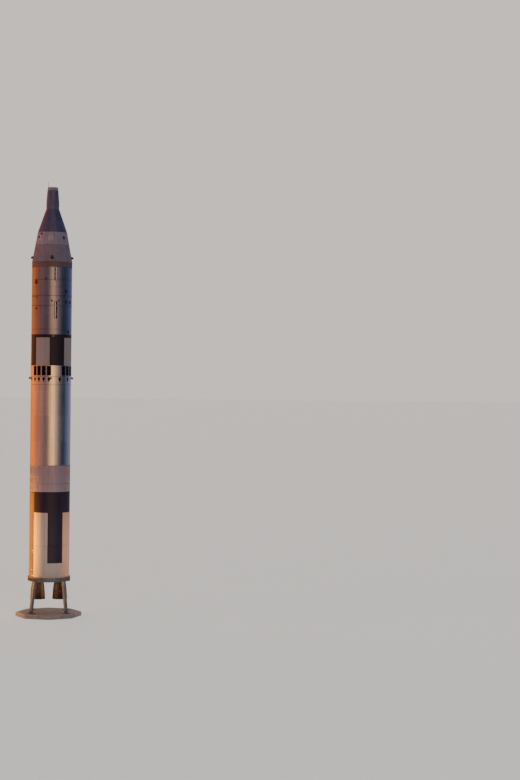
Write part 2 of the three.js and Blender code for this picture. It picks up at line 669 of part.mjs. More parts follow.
const beamZ = (BEAM.foot + BEAM.top) / 2;
const beamHeight = BEAM.top - BEAM.foot;
const beamReach = FRAME_RING.inner + BEAM.sink;
const chord = 2 * Math.sqrt(beamReach ** 2 - (CHAMBER_X + BEAM.width / 2) ** 2);
const engineFrame = [
  tube(BODY_R - SKIN - GAP, FRAME_RING.inner, FRAME_RING.foot, FRAME_RING.top),
  block(2 * beamReach, BEAM.width, beamHeight, [0, 0, beamZ]),
];
for (const [name, x, sideArm] of CHAMBERS) {
  const engine = ENGINES.first;
  const z = engine.pivotZ;
  const earTop = z + GIMBAL.block;
  const blockFoot = earTop - BEAM.sink / 2;
  const blockTop = BEAM.foot + BEAM.sink;
  engineFrame.push(
    block(BEAM.width, chord, beamHeight, [x, 0, beamZ]),
    block(GIMBAL.blockX, GIMBAL.blockY, blockTop - blockFoot, [x, 0, (blockTop + blockFoot) / 2]),
    ...ears(x, z, z - GIMBAL.earPast, earTop, true));
  for (const direction of [sideArm, FRONT_ARM]) {
    engineFrame.push(actuatorBarrel(x, z, direction, blockTop + BEAM.sink / 2));
  }
  add(`gimbal_cross_${name}`, "engine", crossOfPins(x, z));
  add(`thrust_chamber_${name}`, "nozzle", join(
    chamber(x, engine), ...ears(x, z, z - GIMBAL.earFoot, z + GIMBAL.earPast, false),
    arm(x, z, sideArm), arm(x, z, FRONT_ARM)));
  add(`side_rod_${name}`, "engine", actuatorRod(x, z, sideArm));
  add(`front_rod_${name}`, "engine", actuatorRod(x, z, FRONT_ARM));
}
add("engine_frame", "engine", join(...engineFrame));

// Turbopumps behind the chambers, each with its turbine's exhaust stack
const PUMP = { x: 750, y: 700, radius: 165, foot: 4150, drum: 200, drumHalf: 190, drumZ: 4330,
  stackY: 1010, stack: 95, elbowZ: 4100, elbowUp: 40, stackShort: 60, outlet: 60, outletZ: 4560,
  outletReach: 330, sides: 16 };

function turbopump(x) {
  const { y, drumZ, drumHalf, stackY, stack, elbowZ, elbowUp, outletZ, sides } = PUMP;
  return join(
    bar([x, y, PUMP.foot], [x, y, BEAM.foot - GAP], PUMP.radius, sides),
    bar([x - drumHalf, y, drumZ], [x + drumHalf, y, drumZ], PUMP.drum, sides),
    bar([x, y, drumZ], [x, stackY, elbowZ], stack),
    bar([x, stackY, elbowZ + elbowUp], [x, stackY, Z.tail - PUMP.stackShort], stack),
    bar([x, y, outletZ], [x, y - PUMP.outletReach, outletZ], PUMP.outlet));
}
add("turbopump_left", "engine", turbopump(-PUMP.x));
add("turbopump_right", "engine", turbopump(PUMP.x));

// Second-stage engine: one chamber under the tank's end, seen through the blast slots

const CONE = { foot: 20740, footR: 190, topR: 420, sink: 10 };
const secondPins = ENGINES.second.pivotZ;
const coneTop = stageTwoDomeZ - GAP;
add("stage2_thrust_cone", "engine", join(
  turned([[0, CONE.foot], [CONE.footR, CONE.foot], [CONE.topR, coneTop], [0, coneTop]],
    NOZZLE_SIDES),
  ...ears(0, secondPins, secondPins - GIMBAL.earPast, CONE.foot + CONE.sink, true)));
add("stage2_gimbal_cross", "engine", crossOfPins(0, secondPins));
add("stage2_thrust_chamber", "nozzle", join(
  chamber(0, ENGINES.second),
  ...ears(0, secondPins, secondPins - GIMBAL.earFoot, secondPins + GIMBAL.earPast, false)));

export default rocket;
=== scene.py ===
"""Looks of the space rocket: its skins, paint, ribs, fastenings, engines, capsule and stand.

Metres, +Z up, in the same frame as the solids. The front is -Y. A bearing is an angle round the
rocket in degrees, from the front towards +X.
"""

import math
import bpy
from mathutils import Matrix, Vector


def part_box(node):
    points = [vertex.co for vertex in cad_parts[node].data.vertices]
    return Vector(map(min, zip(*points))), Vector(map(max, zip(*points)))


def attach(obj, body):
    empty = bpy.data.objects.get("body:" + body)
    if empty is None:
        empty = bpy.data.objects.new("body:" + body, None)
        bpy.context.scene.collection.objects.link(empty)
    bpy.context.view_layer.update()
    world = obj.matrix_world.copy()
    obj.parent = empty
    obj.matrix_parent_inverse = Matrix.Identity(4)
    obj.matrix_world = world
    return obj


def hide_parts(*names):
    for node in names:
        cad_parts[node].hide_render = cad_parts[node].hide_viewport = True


bl_info = {
    "name": "Space Rocket Finish",
    "version": (1, 0, 0),
    "blender": (4, 5, 0),
    "location": "View3D > Sidebar > Rocket",
    "description": "Dresses the solids of a two-stage space rocket with its real surfaces",
    "category": "Object",
}

import bmesh
import bpy
from mathutils import Matrix, Vector

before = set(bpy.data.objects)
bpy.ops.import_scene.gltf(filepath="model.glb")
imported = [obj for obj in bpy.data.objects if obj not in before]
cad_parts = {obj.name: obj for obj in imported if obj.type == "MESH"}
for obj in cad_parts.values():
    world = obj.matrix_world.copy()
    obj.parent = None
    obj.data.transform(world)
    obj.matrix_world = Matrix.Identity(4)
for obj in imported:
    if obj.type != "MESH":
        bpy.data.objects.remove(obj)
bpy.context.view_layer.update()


def foot(node):
    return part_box(node)[0].z


def top(node):
    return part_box(node)[1].z


def centre_of(node):
    low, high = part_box(node)
    return (low + high) / 2


# Driving sizes, taken from the frame where it has them

BODY_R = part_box("stage1_fuel_tank")[1].x
NOSE_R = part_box("control_section")[1].x
CABIN_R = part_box("cabin_shell")[1].x
SKIN = 0.06
SIDES = 192
SHARP = math.radians(28)

ADAPTER_FOOT = foot("equipment_adapter")
ADAPTER_TOP = top("retro_adapter")
CABIN_FOOT = foot("cabin_shell")
CABIN_TOP = foot("control_section")


def adapter_radius(z):
    return BODY_R + (z - ADAPTER_FOOT) / (ADAPTER_TOP - ADAPTER_FOOT) * (CABIN_R - BODY_R)


def cabin_radius(z):
    return CABIN_R + (z - CABIN_FOOT) / (CABIN_TOP - CABIN_FOOT) * (NOSE_R - CABIN_R)


LEAN = math.atan((CABIN_R - NOSE_R) / (CABIN_TOP - CABIN_FOOT))


class RocketSizes(bpy.types.PropertyGroup):
    stringers: bpy.props.IntProperty(
        name="Stringers", description="Ribs round the section between the tanks", default=120
    )
    rivet: bpy.props.FloatProperty(
        name="Rivet", description="Radius of a rivet's head", default=0.007, unit="LENGTH"
    )
    rivet_pitch: bpy.props.FloatProperty(
        name="Rivet pitch", description="Spacing along a row", default=0.075, unit="LENGTH"
    )
    seam: bpy.props.FloatProperty(
        name="Seam", description="Width of the groove between sections", default=0.012,
        unit="LENGTH"
    )
    bell_tubes: bpy.props.IntProperty(
        name="Bell tubes", description="Cooling tubes round each bell", default=120
    )


class RocketColours(bpy.types.PropertyGroup):
    white: bpy.props.FloatVectorProperty(
        name="White paint", description="White of the roll pattern", subtype="COLOR",
        default=(0.40, 0.34, 0.335), min=0, max=1
    )
    black: bpy.props.FloatVectorProperty(
        name="Black paint", description="Black of the roll pattern", subtype="COLOR",
        default=(0.0175, 0.0145, 0.022), min=0, max=1
    )
    metal: bpy.props.FloatVectorProperty(
        name="Bare skin", description="Bare aluminium", subtype="COLOR",
        default=(0.63, 0.62, 0.61), min=0, max=1
    )
    forward_ring: bpy.props.FloatVectorProperty(
        name="Forward ring", description="Dark brown paint of the ring", subtype="COLOR",
        default=(0.138, 0.096, 0.094), min=0, max=1
    )
    adapter: bpy.props.FloatVectorProperty(
        name="Adapter", description="Light grey paint of the adapter", subtype="COLOR",
        default=(0.222, 0.190, 0.242), min=0, max=1
    )
    shingle: bpy.props.FloatVectorProperty(
        name="Shingles", description="Blue-black skin of the capsule", subtype="COLOR",
        default=(0.062, 0.078, 0.190), min=0, max=1
    )


# Node maths

def add_node(tree, kind, sockets=(), **settings):
    """A new node in a tree. Each socket gets a link or a value."""
    made = tree.nodes.new(kind)
    for key, value in settings.items():
        setattr(made, key, value)
    for key, value in dict(sockets).items():
        if isinstance(value, bpy.types.NodeSocket):
            tree.links.new(value, made.inputs[key])
        else:
            made.inputs[key].default_value = value
    return made


def bearing_of(tree, direction):
    """The bearing of a direction, as an angle in radians."""
    parts = add_node(tree, "ShaderNodeSeparateXYZ", {0: direction}).outputs
    front = add_node(tree, "ShaderNodeMath", {0: parts["Y"], 1: -1.0}, operation="MULTIPLY")
    return add_node(tree, "ShaderNodeMath", {0: parts["X"], 1: front.outputs[0]},
                    operation="ARCTAN2").outputs[0]


def set_stops(ramp, stops):
    """Stops of a colour ramp, as [position, colour]."""
    while len(ramp.elements) < len(stops):
        ramp.elements.new(0.5)
    for element, (position, colour) in zip(ramp.elements, stops):
        element.position = position
        element.color = (*colour, 1)


class Wire:
    """An output socket of a shader. Arithmetic on it adds Math nodes."""

    def __init__(self, shader, socket):
        self.shader = shader
        self.socket = socket

    def _with(self, operation, first, second):
        return self.shader.node("ShaderNodeMath", {"operation": operation},
                                {0: first, 1: second})

    def __add__(self, other):
        return self._with("ADD", self, other)

    __radd__ = __add__

    def __sub__(self, other):
        return self._with("SUBTRACT", self, other)

    def __rsub__(self, other):
        return self._with("SUBTRACT", other, self)

    def __mul__(self, other):
        return self._with("MULTIPLY", self, other)

    __rmul__ = __mul__

    def __truediv__(self, other):
        return self._with("DIVIDE", self, other)

    def floor(self):
        return self._with("FLOOR", self, 0.0)

    def larger(self, other):
        return self._with("MAXIMUM", self, other)

    def held(self):
        """Kept between 0 and 1."""
        return self.shader.node("ShaderNodeClamp", {}, {"Value": self})

    def between(self, low, high, soft):
        """1 where the value lies from low to high, and 0 outside."""
        rise = ((self - low) / soft + 0.5).held()
        fall = ((high - self) / soft + 0.5).held()
        return rise * fall


class Shader:
    """One material on Object coordinates."""

    def __init__(self, name, **sockets):
        self.material = bpy.data.materials.new(name)
        self.material.use_nodes = True
        self.tree = self.material.node_tree
        self.tree.nodes.clear()
        self.output = self.tree.nodes.new("ShaderNodeOutputMaterial")
        self.surface = self.tree.nodes.new("ShaderNodeBsdfPrincipled")
        self.tree.links.new(self.surface.outputs[0], self.output.inputs["Surface"])
        self.paint(**sockets)
        self.place = self.node("ShaderNodeTexCoord", {}, {}, "Object")
        split = self.node("ShaderNodeSeparateXYZ", {}, {0: self.place})
        self.x = split
        self.y = Wire(self, split.socket.node.outputs["Y"])
        self.z = Wire(self, split.socket.node.outputs["Z"])

    @property
    def bearing(self):
        turn = self.node("ShaderNodeMath", {"operation": "ARCTAN2"}, {0: self.x, 1: 0 - self.y})
        return turn * (180 / math.pi)

    def node(self, kind, settings, sockets, output=0):
        made = self.tree.nodes.new(kind)
        for key, value in settings.items():
            if key == "stops":
                set_stops(made.color_ramp, value)
            else:
                setattr(made, key, value)
        for key, value in sockets.items():
            self._feed(made.inputs, key, value)
        return Wire(self, made.outputs[output])

    def _feed(self, inputs, key, value):
        by_identifier = [socket for socket in inputs if socket.identifier == key]
        socket = by_identifier[0] if by_identifier else inputs[key]
        if isinstance(value, Wire):
            self.tree.links.new(value.socket, socket)
        elif socket.type == "RGBA" and len(value) == 3:
            socket.default_value = (*value, 1)
        else:
            socket.default_value = value

    def paint(self, **sockets):
        """Sets the surface's own sockets, such as base_color, to values or wires."""
        for key, value in sockets.items():
            self._feed(self.surface.inputs, key.replace("_", " ").title().replace("Ior", "IOR"),
                       value)

    def colour(self, mask, first, second):
        return self.node("ShaderNodeMix", {"data_type": "RGBA"},
                         {"Factor_Float": mask, "A_Color": first, "B_Color": second}, 2)

    def tinted(self, base, tint, amount):
        """base multiplied by tint, as far as amount says."""
        return self.node("ShaderNodeMix", {"data_type": "RGBA", "blend_type": "MULTIPLY"},
                         {"Factor_Float": amount, "A_Color": base, "B_Color": tint}, 2)

    def stretched(self, across, up):
        """Object coordinates scaled across and up the rocket."""
        return self.node("ShaderNodeVectorMath", {"operation": "MULTIPLY"},
                         {0: self.place, 1: (across, across, up)})

    def noise(self, across, up, detail=4, roughness=0.55):
        return self.node("ShaderNodeTexNoise", {},
                         {"Vector": self.stretched(across, up), "Scale": 1.0,
                          "Detail": detail, "Roughness": roughness})

    def cells(self, first, second, seed):
        """A different grey for each pair of whole numbers."""
        at = self.node("ShaderNodeCombineXYZ", {}, {0: first, 1: second, 2: seed})
        return self.node("ShaderNodeTexWhiteNoise", {}, {"Vector": at})

    def bump(self, height, distance, strength=1.0, under=None):
        sockets = {"Height": height, "Distance": distance, "Strength": strength}
        if under is not None:
            sockets["Normal"] = under
        return self.node("ShaderNodeBump", {}, sockets)


# Materials

STAGE_TWO_SEAMS = [top("stage2_fuel_tank"), top("stage2_between_tanks"),
                   foot("stage2_oxidizer_tank") + 1.20, top("stage2_aft_skirt") + 0.40]
RIBBED_RINGS = [foot("stage1_between_tanks") + 0.69, foot("stage1_between_tanks") + 1.25]
STAGE_ONE_SEAMS = RIBBED_RINGS + [top("stage1_between_tanks"), foot("stage1_forward_skirt"),
                                  top("stage1_forward_skirt")]


def faded(colour, by):
    return [min(1.0, part * by) for part in colour]


def seam_lines(shader, heights, width=0.028):
    lines = [shader.z.between(z - width / 2, z + width / 2, 0.012) for z in heights]
    total = lines[0]
    for line in lines[1:]:
        total = total.larger(line)
    return total


def streaks(shader, fineness=9.0, from_share=0.50, to_share=0.66):
    """Stains that run down the skin."""
    fine = shader.noise(fineness, 0.22, 5, 0.6)
    return ((fine - from_share) / (to_share - from_share)).held()


def gore_tone(shader, width=30.0, height=1.9, seed=0.0):
    """A slightly different tone for each sheet of skin."""
    return shader.cells((shader.bearing / width).floor(), (shader.z / height).floor(), seed)


def bare_skin(name, metal, roughness, dirt, seams, metallic=0.96, sheets=0.55):
    """Bare aluminium: rolled sheets that differ a little, streaked and a little wavy."""
    shader = Shader(name, metallic=metallic, ior=1.5)
    sheet = gore_tone(shader)
    stain = streaks(shader)
    haze = shader.noise(1.3, 0.35, 3, 0.6)
    base = shader.colour((sheet * sheets + haze * (1 - sheets)).held(), faded(metal, 0.86),
                         faded(metal, 1.07))
    base = shader.tinted(base, (0.60, 0.545, 0.51), stain * dirt)
    base = shader.tinted(base, (0.34, 0.31, 0.30), seam_lines(shader, seams) * 0.8)
    grain = shader.noise(34.0, 0.5, 3, 0.7)
    shader.paint(base_color=base,
                 roughness=(roughness + (haze - 0.5) * 0.16 + stain * 0.10
                            + (grain - 0.5) * 0.10 + (sheet - 0.5) * 0.05))
    wave = shader.noise(0.55, 1.15, 2, 0.5)
    rolled = shader.bump(grain, 0.0007, 0.45)
    shader.paint(normal=shader.bump(wave, 0.010, 0.35, rolled))
    return shader.material


def roll_blocks(shader, blocks, soft=0.25):
    """1 inside any of the blocks. A block is (from bearing, to bearing, foot, top)."""
    bearing = shader.bearing
    total = None
    for start, end, low, high in blocks:
        for turn in (-360, 0, 360):
            if end + turn <= -180 or start + turn >= 180:
                continue
            mask = (bearing.between(start + turn, end + turn, soft)
                    * shader.z.between(low, high, 0.008))
            total = mask if total is None else total.larger(mask)
    return total


def painted_skin(name, colours, white, white_blocks, bare_blocks, seams):
    """Black paint with white blocks, and bare metal where the paint stops."""
    shader = Shader(name, ior=1.45, specular_ior_level=0.26)
    blocks = roll_blocks(shader, white_blocks)
    stain = streaks(shader, 7.0)
    haze = shader.noise(2.2, 0.5, 4, 0.6)
    mottle = shader.noise(14.0, 9.0, 4, 0.65)
    chips = ((mottle - 0.70) / 0.04).held()
    white_tone = shader.colour(haze, faded(white, 0.88),
                               faded(white, 1.06))
    white_tone = shader.tinted(white_tone, (0.70, 0.62, 0.55), stain * 0.40)
    black_tone = shader.colour(haze, faded(colours.black, 0.75),
                               faded(colours.black, 1.9))
    paint = shader.colour(blocks, black_tone, white_tone)
    paint = shader.tinted(paint, (0.62, 0.58, 0.55), chips * 0.35)
    roughness = 0.42 + (haze - 0.5) * 0.16 + stain * 0.12 + blocks * 0.08
    metallic = 0.0
    if bare_blocks:
        bare = roll_blocks(shader, bare_blocks)
        # The bare strip's aluminium at about half the bright skin's tone: painted shade that tempers
        # the lamps' highlight on it.
        metal = shader.colour(haze, faded(colours.metal, 0.44),
                              faded(colours.metal, 0.55))
        paint = shader.colour(bare, paint, metal)
        roughness = roughness - bare * 0.14
        metallic = bare * 0.9
    paint = shader.tinted(paint, (0.45, 0.42, 0.40), seam_lines(shader, seams, 0.018) * 0.3)
    shader.paint(base_color=paint, roughness=roughness, metallic=metallic)
    wave = shader.noise(0.7, 1.3, 2, 0.5)
    peel = shader.bump(mottle, 0.0006, 0.35)
    shader.paint(normal=shader.bump(wave, 0.008, 0.30, peel))
    return shader.material


def plain_paint(name, colour, roughness=0.5, wear=0.35, metallic=0.0, fineness=7.0):
    """One colour of paint with streaks, mottling and a fine peel."""
    shader = Shader(name, metallic=metallic)
    haze = shader.noise(2.6, 0.9, 4, 0.6)
    mottle = shader.noise(16.0, 11.0, 4, 0.65)
    stain = streaks(shader, fineness)
    base = shader.colour(haze, faded(colour, 0.80),
                         faded(colour, 1.16))
    base = shader.tinted(base, (0.66, 0.60, 0.56), stain * wear)
    shader.paint(base_color=base, roughness=roughness + (haze - 0.5) * 0.18 + stain * 0.10,
                 normal=shader.bump(mottle, 0.0010, 0.40))
    return shader.material


# Degrees across and metres up one sheet
ADAPTER_SHEET = {"width": 22.5, "height": 0.91}
SHINGLE = {"width": 20.0, "height": 0.447}


def adapter_paint(name, colour, patches=()):
    """Matt grey over fine vertical ribs, with a paler patch in each given block."""
    shader = Shader(name)
    haze = shader.noise(2.0, 0.5, 4, 0.6)
    stain = streaks(shader, 12.0)
    sheet = gore_tone(shader, ADAPTER_SHEET["width"], ADAPTER_SHEET["height"], 3.0)
    base = shader.colour((haze * 0.6 + sheet * 0.4).held(), faded(colour, 0.80),
                         faded(colour, 1.14))
    if patches:
        base = shader.colour(roll_blocks(shader, patches) * 0.55, base,
                             faded(colour, 1.65))
    base = shader.tinted(base, (0.56, 0.50, 0.47), stain * 0.62)
    shader.paint(base_color=base, roughness=0.60 + (haze - 0.5) * 0.2,
                 normal=shader.bump(shader.noise(26.0, 14.0, 4, 0.6), 0.0008, 0.35))
    return shader.material


def shingle_skin(name, colour, tint, seams):
    """Oxidised heat-resisting shingles: dark, half metallic, each a little different."""
    shader = Shader(name, metallic=0.25)
    haze = shader.noise(3.4, 1.1, 4, 0.6)
    stain = streaks(shader, 16.0, 0.46, 0.64)
    sheet = gore_tone(shader, SHINGLE["width"], SHINGLE["height"], 7.0)
    base = shader.colour((haze * 0.5 + sheet * 0.5).held(), faded(colour, 0.62),
                         faded(colour, 1.45))
    base = shader.colour(stain * 0.55, base, tint)
    base = shader.tinted(base, (0.3, 0.3, 0.3), seam_lines(shader, seams, 0.014) * 0.7)
    shader.paint(base_color=base, roughness=0.52 + (haze - 0.5) * 0.24 + (sheet - 0.5) * 0.14,
                 normal=shader.bump(shader.noise(30.0, 20.0, 4, 0.6), 0.0010, 0.40))
    return shader.material


def hot_metal(name, cool, hot, low, high, roughness):
    """Steel with the straw and brown tints of heat, from low to high."""
    shader = Shader(name, metallic=0.92)
    haze = shader.noise(5.0, 3.0, 4, 0.6)
    share = ((shader.z - low) / (high - low) + (haze - 0.5) * 0.5).held()
    base = shader.node("ShaderNodeValToRGB", {"stops": [(0.0, hot), (0.35, cool), (0.62, (
        cool[0] * 1.08, cool[1] * 0.92, cool[2] * 0.78)), (1.0, cool)]}, {0: share})
    # Streaks of soot on the steel.
    soot_and_shade = streaks(shader, 10.0, 0.48, 0.62)
    base = shader.tinted(base, (0.42, 0.38, 0.36), soot_and_shade * 0.5)
    shader.paint(base_color=base, roughness=roughness + (haze - 0.5) * 0.22 + soot_and_shade * 0.16,
                 normal=shader.bump(shader.noise(40.0, 40.0, 3, 0.6), 0.0006, 0.35))
    return shader.material


def concrete(name):
    shader = Shader(name)
    cloud = shader.noise(1.1, 1.1, 5, 0.6)
    sand = shader.noise(60.0, 60.0, 3, 0.7)
    pores = ((shader.node("ShaderNodeTexVoronoi", {}, {"Vector": shader.place, "Scale": 24.0})
              - 0.055) / 0.03).held()
    run = streaks(shader, 3.0, 0.50, 0.68)
    base = shader.colour(cloud, (0.30, 0.285, 0.26), (0.50, 0.48, 0.445))
    base = shader.tinted(base, (0.80, 0.78, 0.75), sand * 0.6)
    base = shader.tinted(base, (0.50, 0.46, 0.41), run * 0.5)
    # Pores darker: painted shade in them.
    base = shader.tinted(base, (0.45, 0.43, 0.40), (1 - pores) * 0.6)
    rough = shader.bump(sand, 0.002, 0.5)
    shader.paint(base_color=base, roughness=0.86 + (cloud - 0.5) * 0.12,
                 normal=shader.bump(pores, 0.004, 0.6, rough))
    return shader.material


# Near-black plates that stand in for the shaded inside of openings: painted shade.
def painted_opening_shade(name):
    shader = Shader(name)
    mottle = shader.noise(20.0, 20.0, 4, 0.6)
    shader.paint(base_color=shader.colour(mottle, (0.012, 0.011, 0.012), (0.035, 0.032, 0.031)),
                 roughness=0.62 + (mottle - 0.5) * 0.2,
                 normal=shader.bump(mottle, 0.001, 0.3))
    return shader.material


def window_glass(name):
    shader = Shader(name, transmission_weight=0.75, ior=1.46, coat_weight=0.4)
    smear = shader.noise(9.0, 5.0, 4, 0.6)
    shader.paint(base_color=shader.colour(smear, (0.16, 0.19, 0.21), (0.24, 0.27, 0.28)),
                 roughness=0.05 + smear * 0.08)
    return shader.material


def seat_fabric(name):
    shader = Shader(name, sheen_weight=0.4)
    weft, warp = [
        shader.node("ShaderNodeTexWave", {"bands_direction": way},
                    {"Vector": shader.place, "Scale": 150.0, "Distortion": 0.4}, 1)
        for way in ("X", "Y")]
    cloud = shader.noise(6.0, 6.0, 4, 0.6)
    base = shader.colour(cloud, (0.15, 0.16, 0.135), (0.27, 0.28, 0.245))
    base = shader.tinted(base, (0.72, 0.72, 0.70), weft * warp * 0.8)
    shader.paint(base_color=base, roughness=0.82 + (cloud - 0.5) * 0.1,
                 normal=shader.bump(weft + warp, 0.0006, 0.6))
    return shader.material


MATERIALS = {}


def make_materials(colours):
    metal = list(colours.metal)
    pattern_top = top("stage2_aft_skirt")
    pattern_foot = foot("stage2_aft_skirt")
    band_foot = pattern_top - 0.23
    stage_two_white = [(start + turn, end + turn, pattern_foot - 1, band_foot)
                       for start, end in ((-48.4, -4.7), (39.2, 85.3)) for turn in (0, 180)]
    dot = [(3.1, 6.9, pattern_top - 0.165, pattern_top - 0.065)]
    tail = foot("aft_skirt")
    band = (7.91, top("stage1_fuel_tank"))
    stripe_foot = tail + 1.12
    stage_one_white = [(start + turn, end + turn, tail - 1, band[0])
                       for start, end in ((-50.0, -5.2), (39.8, 84.8)) for turn in (0, 180)]
    stage_one_white.append((-51.0, 265.0, tail - 1, stripe_foot))
    bare = [(-95.2, -50.0, tail - 1, band[1] + 1)]
    # The first stage's white, warmed towards yellow: painted warm light of the flood lamp at its
    # foot.
    flood_warmed_white = [part * fade for part, fade in zip(colours.white, (1.0, 0.98, 0.76))]
    MATERIALS.update({
        "bright": bare_skin("bright_skin", metal, 0.23, 0.55, STAGE_ONE_SEAMS),
        # The second stage's bare aluminium, darker and bluer than the bright skin: painted shade for
        # its dimmer reflections higher up.
        "aged": bare_skin("aged_skin", [0.235, 0.25, 0.35], 0.27, 0.45, STAGE_TWO_SEAMS, 0.88),
        "dull": bare_skin("dull_skin", [0.41, 0.36, 0.42], 0.62, 0.3, [RIBBED_RINGS[0]], 0.5, 0.1),
        # Green primer, made very dark: painted shade of the insides.
        "inner": plain_paint("inner_primer", (0.075, 0.085, 0.055), 0.6),
        "stage2_pattern": painted_skin("second_stage_pattern", colours, list(colours.white),
                                       stage_two_white + dot, [], [pattern_foot]),
        "stage1_pattern": painted_skin("first_stage_pattern", colours, flood_warmed_white, stage_one_white,
                                       bare, [tail]),
        "ring": plain_paint("forward_ring_paint", list(colours.forward_ring), 0.55),
        "adapter": adapter_paint("adapter_paint", list(colours.adapter)),
        "retro": adapter_paint("retro_adapter_paint",
                               faded(colours.adapter, 1.42),
                               [(-15.0, 2.0, 28.47, 28.80), (-60.0, -43.0, 28.44, 28.86)]),
        "shingle": shingle_skin("cabin_shingles", list(colours.shingle), (0.045, 0.040, 0.058),
                                [CABIN_FOOT + SHINGLE["height"] * k for k in range(1, 4)]),
        "nose": shingle_skin("nose_shingles", (0.094, 0.105, 0.195),
                             (0.105, 0.085, 0.105), [foot("recovery_section")]),
        "cap": plain_paint("nose_cap_paint", (0.30, 0.31, 0.33), 0.6),
        "mark": plain_paint("pale_paint", (0.62, 0.60, 0.57), 0.5, 0.2),
        # The fairings' crowns and bands: pale paint, a painted highlight on the crowns.
        "crown": plain_paint("fairing_paint", (0.90, 0.79, 0.73), 0.45, 0.3),
        # Mauve paint of the adapter's band; on the fairings' lit flanks it is painted light.
        "band": plain_paint("band_paint", (0.40, 0.31, 0.33), 0.6, 0.5),
        # Painted shade: near-black plates for the insides of ports, thruster and nose openings and
        # the pump stack.
        "dark": painted_opening_shade("dark_opening"),
        # Near-black paint as painted shade: inside the forward skirt and interstage, on the oxidizer
        # tank's domes, in the cut edges of the teardrops and slots, round and behind the slots, and
        # on a fairing flank.
        "soot_and_shade": plain_paint("sooted_metal", (0.020, 0.015, 0.019), 0.8, 0.1),
        "steel": hot_metal("bare_steel", (0.34, 0.32, 0.30), (0.30, 0.27, 0.24), 0.0, 30.0, 0.4),
        "lug": plain_paint("lug_paint", (0.018, 0.016, 0.018), 0.7, 0.2),
        # A paler brown for the lower lugs' blades.
        "pale_lug": plain_paint("worn_lug_paint", (0.25, 0.18, 0.125), 0.6, 0.3),
        "bell": hot_metal("bell_tubes", (0.22, 0.20, 0.185), (0.10, 0.075, 0.06),
                          foot("thrust_chamber_left"), top("thrust_chamber_left"), 0.34),
        "bell_two": hot_metal("second_bell", (0.20, 0.185, 0.17), (0.09, 0.07, 0.06),
                              foot("stage2_thrust_chamber"), top("stage2_thrust_chamber"), 0.4),
        "frame": plain_paint("engine_frame_paint", (0.23, 0.24, 0.235), 0.45, 0.5, 0.3),
        "pump": hot_metal("pump_casting", (0.36, 0.35, 0.33), (0.26, 0.24, 0.22), 3.0, 5.0, 0.42),
        "stand": plain_paint("stand_paint", (0.15, 0.165, 0.17), 0.46, 0.5, 0.1, 5.0),
        "concrete": concrete("cast_concrete"),
        "glass": window_glass("window_glass"),
        "fabric": seat_fabric("seat_weave"),
        "panel": plain_paint("panel_paint", (0.095, 0.10, 0.105), 0.5),
        "chrome": plain_paint("polished_rod", (0.62, 0.62, 0.63), 0.16, 0.1, 1.0),
        "dial": plain_paint("dial_face", (0.015, 0.015, 0.016), 0.25, 0.05),
    })


# Mesh helpers

def bearing_point(radius, bearing, z):
    turn = math.radians(bearing)
    return Vector((radius * math.sin(turn), -radius * math.cos(turn), z))


def full_turn(count):
    """Angles in even steps round a full turn."""
    return [2 * math.pi * k / count for k in range(count)]


def outward(mesh):
    bmesh.ops.recalc_face_normals(mesh, faces=mesh.faces)
    return mesh


def moved(mesh, shift):
    bmesh.ops.translate(mesh, vec=shift, verts=mesh.verts)
    return mesh


def walled(mesh, low, high, sides, material=0):
    """Faces between two rings of vertices. A ring on the axis is one vertex repeated."""
    for k in range(sides):
        n = (k + 1) % len(low)
        corners = list(dict.fromkeys([low[k], low[n], high[n], high[k]]))
        if len(corners) > 2:
            mesh.faces.new(corners).material_index = material


def lofted(rings, closed=False):
    """A closed skin over rings of points, each with the same count."""
    mesh = bmesh.new()
    rows = [[mesh.verts.new(point) for point in ring] for ring in rings]
    for low, high in zip(rows, rows[1:] + (rows[:1] if closed else [])):
        walled(mesh, low, high, len(low))
    if not closed:
        mesh.faces.new(rows[0])
        mesh.faces.new(rows[-1])
    return outward(mesh)


def turned(profile, sides=SIDES, closed=False, stretches=None, start=0.0, end=360.0):
    """Points (radius, z) that run up the outside, turned round Z. stretches gives the material
    of each stretch. Less than a full turn gets its two end faces."""
    mesh = bmesh.new()
    whole = end - start >= 360
    count = sides if whole else sides + 1
    rings = []
    for radius, z in profile:
        if radius < 1e-6:
            rings.append([mesh.verts.new((0, 0, z))] * count)
        else:
            rings.append([mesh.verts.new(bearing_point(
                radius, start + (end - start) * k / sides, z)) for k in range(count)])
    pairs = zip(rings, rings[1:] + (rings[:1] if closed else []))
    for index, (low, high) in enumerate(pairs):
        walled(mesh, low, high, sides, stretches[index] if stretches else 0)
    if not whole:
        mesh.faces.new([ring[0] for ring in rings])
        mesh.faces.new([ring[-1] for ring in reversed(rings)])
    return mesh


def box(size, centre, bevel=0.0):
    mesh = bmesh.new()
    bmesh.ops.create_cube(mesh, size=1.0)
    bmesh.ops.scale(mesh, vec=size, verts=mesh.verts)
    if bevel:
        bmesh.ops.bevel(mesh, geom=mesh.edges[:], offset=bevel, segments=2, affect="EDGES")
    return moved(mesh, centre)


def bar(start, end, radius, sides, end_radius=None):
    """A round bar with closed ends between two points."""
    mesh = bmesh.new()
    start, end = Vector(start), Vector(end)
    along = end - start
    bmesh.ops.create_cone(mesh, cap_ends=True, segments=sides, radius1=radius,
                          radius2=radius if end_radius is None else end_radius,
                          depth=along.length)
    turn = Vector((0, 0, 1)).rotation_difference(along).to_matrix().to_4x4()
    bmesh.ops.transform(mesh, matrix=Matrix.Translation((start + end) / 2) @ turn,
                        verts=mesh.verts)
    return mesh


def upwards(z):
    return Vector((0, 0, z))


